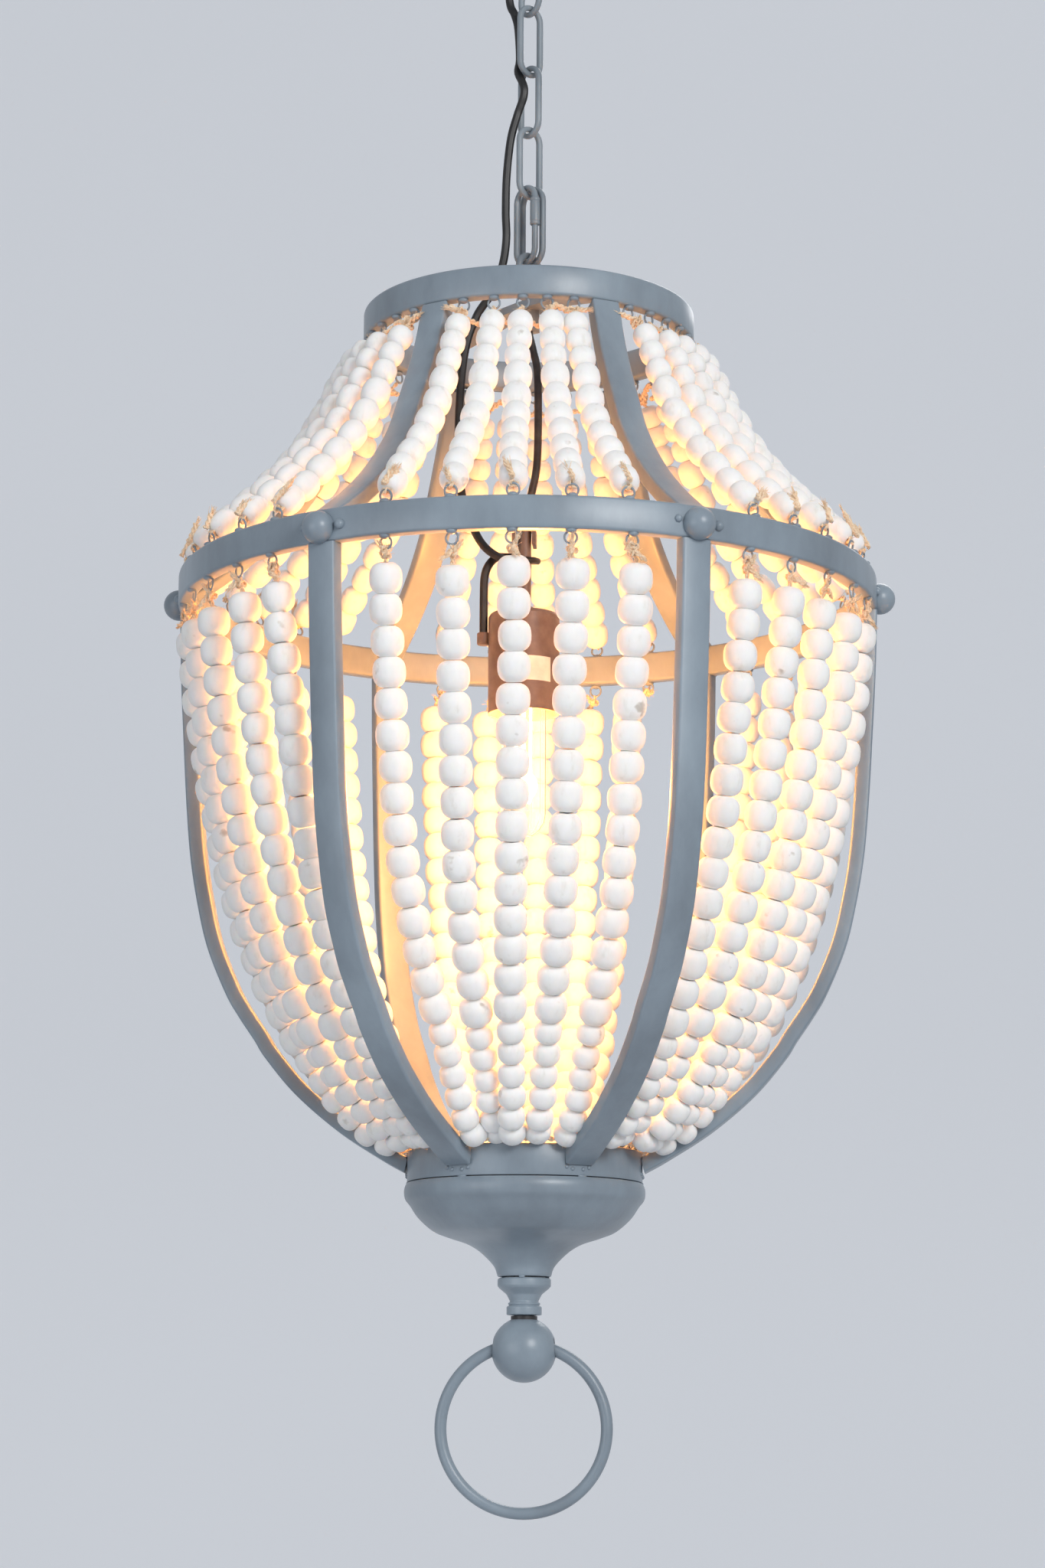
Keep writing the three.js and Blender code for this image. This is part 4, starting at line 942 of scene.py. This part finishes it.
def offsets(number, front, spread):
    """What the photograph shows of the front panel's strands, and small chance shifts for the others."""
    return front if number == 1 else tuple(rng.normal(0, spread, 5))


def weld_pad(heap, r, z, azimuth):
    """The lump of painted weld that holds a wire loop to a ring's edge."""
    heap.lump((3.0, 3.3, 1.9), r, azimuth, z)


def panel_pieces(level, number, beads, cords, loops):
    beads.make(f"{level}_bead_strands_{number}", WOOD, "cage", "bead_wood", f"{level}_beads_{number}")
    cords.make(f"{level}_twine_{number}", JUTE, "cage", "bead_wood")
    loops.make(f"{level}_wire_loops_{number}", PAINT, "cage", "cage_paint")


def upper_panel(number, angle):
    """Five strands from the top ring to the mid ring, their loops and knots, and the twine between them."""
    beads, cords, loops = Heap(), Heap(), Heap()
    tops = []
    heads = offsets(number, FRONT_HEADS, 0.8)
    eyes = offsets(number, FRONT_TOP_LOOPS, 0.6)
    feet = offsets(number, FRONT_FEET, 0.5)
    kinds = [SMALL] * 3 + [LARGE] * 7
    for k in range(5):
        azimuth = angle + (k - 2) * STRAND_STEP
        first, last = strand(beads, UPPER_LINE, kinds, azimuth + heads[k], azimuth + feet[k],
                             UPPER_LEAD + rng.normal(0, 0.5), rng.normal(0, 0.25), UPPER_GIRTH)
        eye, foot_eye = azimuth + eyes[k], azimuth + feet[k]
        wire_loop(loops, *TOP_LOOP, eye)
        weld_pad(loops, 105.4, 170.0, eye)
        wire_loop(loops, *MID_TOP_LOOP, foot_eye, 0.25)
        weld_pad(loops, 221.4, 10.6, foot_eye)
        hook = vec(TOP_LOOP[0], eye, TOP_LOOP[1] - 3.6)
        lump = hook * 0.35 + first * 0.65
        tops.append((lump, azimuth + heads[k]))
        twine(cords, [hook + [0, 0, 0.0012], lump, first + (first - hook) * 0.2], 1.3)
        knot(cords, lump, 3.4, outward(azimuth, 0.4, 0.8), 20)
        foot = vec(MID_TOP_LOOP[0], foot_eye, MID_TOP_LOOP[1] + 2.6)
        twine(cords, [last + (last - foot) * 0.3, (last + foot) / 2, foot])
        knot(cords, foot * 0.6 + last * 0.4, 2.9, outward(azimuth, 0.3, 1.0), 16)
        for _ in range(1 if rng.uniform() < 0.6 else 2):
            rise = outward(azimuth, -0.55, 1.0, rng.normal(0, 0.35))
            outer = foot * 0.6 + last * 0.4 + outward(azimuth, 1, 0.6) * 5.2 * MM
            tuft(cords, outer, rise, rng.uniform(12, 17), 1.7)
    for k, ((p, a0), (q, a1)) in enumerate(zip(tops, tops[1:])):
        if k == 3:
            arch = vec(106, a0 * 0.75 + a1 * 0.25, p[2] / MM - MID + 7)
            run = [p, arch, q]
            twine(cords, run, 2.1)
        else:
            inner = vec(100, a0 * 0.35 + a1 * 0.65, (p[2] + q[2]) / 2 / MM - MID - rng.uniform(3, 7))
            run = [p, inner, q]
            twine(cords, run, 1.7)
        fuzz(cords, run)
    for (p, a0), out in ((tops[0], -1), (tops[-1], 1)):
        knot(cords, p + [0, 0, 0.003], 3.6, outward(a0 + 90 * out, 0.6, 0.1), 20)
        tuft(cords, p + [0, 0, 0.003], outward(a0 + 90 * out, 1, 0.15), 13, 1.7)
    panel_pieces("upper", number, beads, cords, loops)


def lower_panel(number, angle):
    """Five strands from the mid ring to the collar, tied as the upper ones are."""
    beads, cords, loops = Heap(), Heap(), Heap()
    tops, ends = [], []
    line = FRONT_LINE if number == 1 else LOWER_LINE
    heads = BACK_LOW_SHIFTS if number == 4 else offsets(number, FRONT_LOW_HEADS, 0.6)
    eyes = offsets(number, FRONT_LOW_LOOPS, 0.4)
    feet = BACK_LOW_SHIFTS if number == 4 else offsets(number, FRONT_LOW_FEET, 0.8)
    leads = offsets(number, FRONT_LOW_LEADS, 1.2)
    sways = offsets(number, FRONT_LOW_SWAYS, 0.4)
    kinds = [LARGE] * 15 + [SMALL] * 6
    for k in range(5):
        azimuth = angle + (k - 2) * STRAND_STEP
        first, last = strand(beads, line, kinds, azimuth + heads[k], azimuth + feet[k], LOWER_LEAD + leads[k],
                             sways[k], LOWER_GIRTH, LOW_TUCKS[k])
        eye, foot_eye = azimuth + eyes[k], azimuth + feet[k]
        wire_loop(loops, *MID_LOW_LOOP, eye)
        weld_pad(loops, 221.4, -10.6, eye)
        wire_loop(loops, *COLLAR_LOOP, foot_eye, 0.5)
        hook = vec(MID_LOW_LOOP[0], eye, MID_LOW_LOOP[1] - 3.4)
        tops.append((hook, eye))
        lump = hook * 0.55 + first * 0.45
        twine(cords, [hook, lump, first + (first - hook) * 0.3], 1.3)
        knot(cords, lump, 3.3, outward(azimuth, 0.5, 0.4), 22)
        tuft(cords, lump, outward(azimuth, 0.5, 0.8, rng.normal(0, 0.5)), rng.uniform(7, 11), 1.5)
        lean = rng.choice([-1, 1]) * rng.uniform(0.4, 0.8)
        tuft(cords, lump + outward(azimuth, 1, 0) * 3 * MM, outward(azimuth, 0.5, -0.8, lean),
             rng.uniform(7, 10), 1.5)
        foot = vec(COLLAR_LOOP[0] + 2.5, foot_eye, COLLAR_LOOP[1] - 0.6)
        ends.append((foot, foot_eye))
        twine(cords, [last + (last - foot) * 0.2, (last + foot) / 2, foot])
        knot(cords, foot, 2.7, outward(azimuth, 0.4, 0.6), 16)
    for (p, a0), (q, a1) in zip(ends, ends[1:]):
        run = [p, vec(COLLAR_LOOP[0] + 4.5, (a0 + a1) / 2, COLLAR_LOOP[1] - 2), q]
        twine(cords, run, 1.6)
        fuzz(cords, run)
    for p, a0 in (tops[0], tops[-1]):
        knot(cords, p, 3.4, outward(a0, 0.7, 0.3), 18)
    for (p, a0), out in ((ends[0], -1), (ends[-1], 1)):
        tuft(cords, p, outward(a0 + 60 * out, 1, -0.3), 11)
    panel_pieces("lower", number, beads, cords, loops)


for i, angle in enumerate(PANEL_ANGLES):
    upper_panel(i + 1, angle)
    lower_panel(i + 1, angle)


# Lampholder and bulb
ROD_RADIUS = 2.55
HOLDER_RADIUS = 23
HOLDER_LENGTH = 66


def hanger(holder_top):
    """The bowed rod, and the small bracket and stem that the lampholder hangs on."""
    head = top_of("hanger_rod")
    span = head - foot_of("hanger_rod")
    points = [(0, 0), (0, 0.05), (3, 0.14), (6, 0.27), (6, 0.65), (2.4, 0.82), (HOLDER_X, 0.94), (HOLDER_X, 1)]
    path = spline([(x * MM, 0, (head - span * share + MID) * MM) for x, share in points], 60)
    vertices, faces = sweep(path, circle(ROD_RADIUS * MM, 18), side=(0, 1, 0))
    make("bowed_rod", vertices, faces, DARK, "cage", ["hanger_rod"])
    top = top_of("holder_bracket")
    half, wide, thick, tall = 7.75, 14, 2.5, 13
    outline = rounded([(-half, top - tall, 0.4), (-half, top, 3), (half, top, 3), (half, top - tall, 0.4),
                       (half - thick, top - tall, 0.4), (half - thick, top - thick, 1), (thick - half, top - thick, 1),
                       (thick - half, top - tall, 0.4)], 0.4, 4)
    heap = Heap()
    sides = [(x + HOLDER_X, y, z) for y in (-wide / 2, wide / 2) for x, z in outline]
    heap.add(place(sides), skin(2, len(outline)))
    stem = rounded([(0, top - thick), (4.5, top - thick), (4.5, holder_top + 5), (6.5, holder_top + 4.4, 0.5),
                    (6.5, holder_top + 0.3, 0.3), (0, holder_top + 0.3)], 0, 3, closed=False)
    heap.turned(stem, 32, HOLDER_X)
    heap.make("hanger_bracket", BROWN, "cage", "holder_brown", "holder_bracket")


def lamp():
    """The lampholder with the boss where the flex enters, what it hangs on, and its blank label."""
    top = top_of("lampholder")
    foot = top - HOLDER_LENGTH
    cup = [(0, top), (21.6, top, 1.6), (HOLDER_RADIUS, top - 2.4, 1.6), (HOLDER_RADIUS, foot, 0.5),
           (21.2, foot, 0.3), (21.2, top - 5.4, 2), (18.6, top - 2, 1), (0, top - 2)]
    heap = Heap()
    heap.turned(rounded(cup, 0.4, 4, closed=False), 72, HOLDER_X)
    high = foot_of("flex_cord") - CORD_GAP
    low = high - 8
    boss = rounded([(0, high), (4.2, high, 0.6), (4.2, low, 1.2), (0, low)], 0, 3, closed=False)
    heap.turned(boss, 28, HOLDER_X + ENTRY_X)
    heap.make("holder_cup", BROWN, "cage", "holder_brown", "lampholder")
    hanger(top)
    heap = Heap()
    columns = 16
    for i in range(columns + 1):
        for z in (-41.5, -57.5):
            heap.vertices.append(vec(HOLDER_RADIUS + 0.12, -101 + 62 * i / columns, z) + [HOLDER_X * MM, 0, 0])
    for i in range(columns):
        heap.faces.append((2 * i, 2 * i + 2, 2 * i + 3, 2 * i + 1))
    heap.make("blank_label", LABEL, "cage", "holder_brown")


lamp()


def carried_over():
    """The pieces that are shown as the solids themselves, with a finish."""
    finishes = {"mounting_strap": NICKEL, "cord_grip": CORD_BLACK, "crossbar": PAINT, "crossbar_nut": CHAIN_PAINT,
                "tie_rod": NICKEL, "lampholder_insert": PORCELAIN, "bulb_cap": NICKEL, "bulb_glass": GLASS,
                "bulb_filament": GLOW}
    for name, material in finishes.items():
        node = frame["nodes"][name]
        node.data.materials.clear()
        node.data.materials.append(material)


carried_over()


# Stage and light
def seen_or_not(tree, seen, lit):
    """One value for rays that show a surface, by sight, mirror or glass, and another for the light it gives."""
    path = tree.nodes.new("ShaderNodeLightPath")
    source = path.outputs["Is Camera Ray"]
    for ray in ("Is Glossy Ray", "Is Transmission Ray"):
        shown = tree.nodes.new("ShaderNodeMath")
        shown.operation = "ADD"
        shown.use_clamp = True
        tree.links.new(source, shown.inputs[0])
        tree.links.new(path.outputs[ray], shown.inputs[1])
        source = shown.outputs[0]
    level = tree.nodes.new("ShaderNodeMapRange")
    set_inputs(level, To_Min=lit, To_Max=seen)
    tree.links.new(source, level.inputs["Value"])
    return level.outputs["Result"]


def seen_glow(tree, shader, colour, strength):
    """Adds a little light of its own to what the camera, a mirror or glass sees of a surface."""
    glow = tree.nodes.new("ShaderNodeEmission")
    set_inputs(glow, Color=(*colour, 1))
    tree.links.new(seen_or_not(tree, strength, 0.0), glow.inputs["Strength"])
    both = tree.nodes.new("ShaderNodeAddShader")
    tree.links.new(shader.outputs["BSDF"], both.inputs[0])
    tree.links.new(glow.outputs["Emission"], both.inputs[1])
    tree.links.new(both.outputs["Shader"], tree.nodes["Material Output"].inputs["Surface"])


FLOOR_HEIGHT = -1.75
FLOOR_FRONT = 12.0
COVE_START = -7.0
COVE_RADIUS = 2.0
WALL_TOP = 12.0
WALL_HALF = 14.0
LIT_POINT = (0, 0, -0.6)
FILAMENT_HEIGHT = -122


def studio():
    """The floor and the wall behind the lamp, joined by a cove."""
    profile = [(FLOOR_FRONT, FLOOR_HEIGHT)]
    for a in np.linspace(0, math.pi / 2, 13):
        profile.append((COVE_START - COVE_RADIUS * math.sin(a), FLOOR_HEIGHT + COVE_RADIUS * (1 - math.cos(a))))
    profile.append((COVE_START - COVE_RADIUS, WALL_TOP))
    n = len(profile)
    vertices = [(x, -y, z) for x in (-WALL_HALF, WALL_HALF) for y, z in profile]
    mesh = bpy.data.meshes.new("studio_sweep")
    mesh.from_pydata(vertices, [], [(k, k + 1, n + k + 1, n + k) for k in range(n - 1)])
    mesh.polygons.foreach_set("use_smooth", [True] * len(mesh.polygons))
    material, tree, shader = new_material("studio_paper")
    shade = ramp(tree, noise(tree, 0.5, 1), [(0.3, srgb(196, 199, 204)), (0.7, srgb(200, 203, 208))])
    tree.links.new(shade, shader.inputs["Base Color"])
    set_inputs(shader, Roughness=0.95)
    seen_glow(tree, shader, srgb(214, 218, 224), 0.54)
    mesh.materials.append(material)
    new_object("studio_sweep", mesh)


def area(name, location, size, power, colour):
    """A square lamp that faces the middle of the cage."""
    data = bpy.data.lights.new(name, "AREA")
    data.size = size
    data.energy = power
    data.color = colour
    light = new_object(name, data)
    light.location = location
    light.rotation_mode = "QUATERNION"
    light.rotation_quaternion = (Vector(location) - Vector(LIT_POINT)).to_track_quat("Z", "Y")


def lights():
    world = bpy.data.worlds.new("world")
    bpy.context.scene.world = world
    world.use_nodes = True
    background = world.node_tree.nodes["Background"]
    set_inputs(background, Color=(0.92, 0.95, 1.0, 1))
    level = seen_or_not(world.node_tree, 0.62, 0.4)
    world.node_tree.links.new(level, background.inputs["Strength"])

    area("key", (1.7, -2.8, 0.35), 1.2, 60, (1.0, 0.99, 0.98))
    area("fill", (-2.0, -2.6, -0.7), 1.8, 20, (0.95, 0.97, 1.0))
    area("rim", (0.6, 2.4, 1.2), 1.4, 20, (1.0, 1.0, 1.0))

    data = bpy.data.lights.new("bulb_light", "POINT")
    data.energy = 6.0
    data.color = (1.0, 0.36, 0.07)
    data.shadow_soft_size = 0.012
    light = new_object("bulb_light", data)
    light.location = (HOLDER_X * MM, 0, (FILAMENT_HEIGHT + MID) * MM)
    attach(light, "bulb")


studio()
lights()

bpy.context.scene.view_settings.view_transform = "Standard"
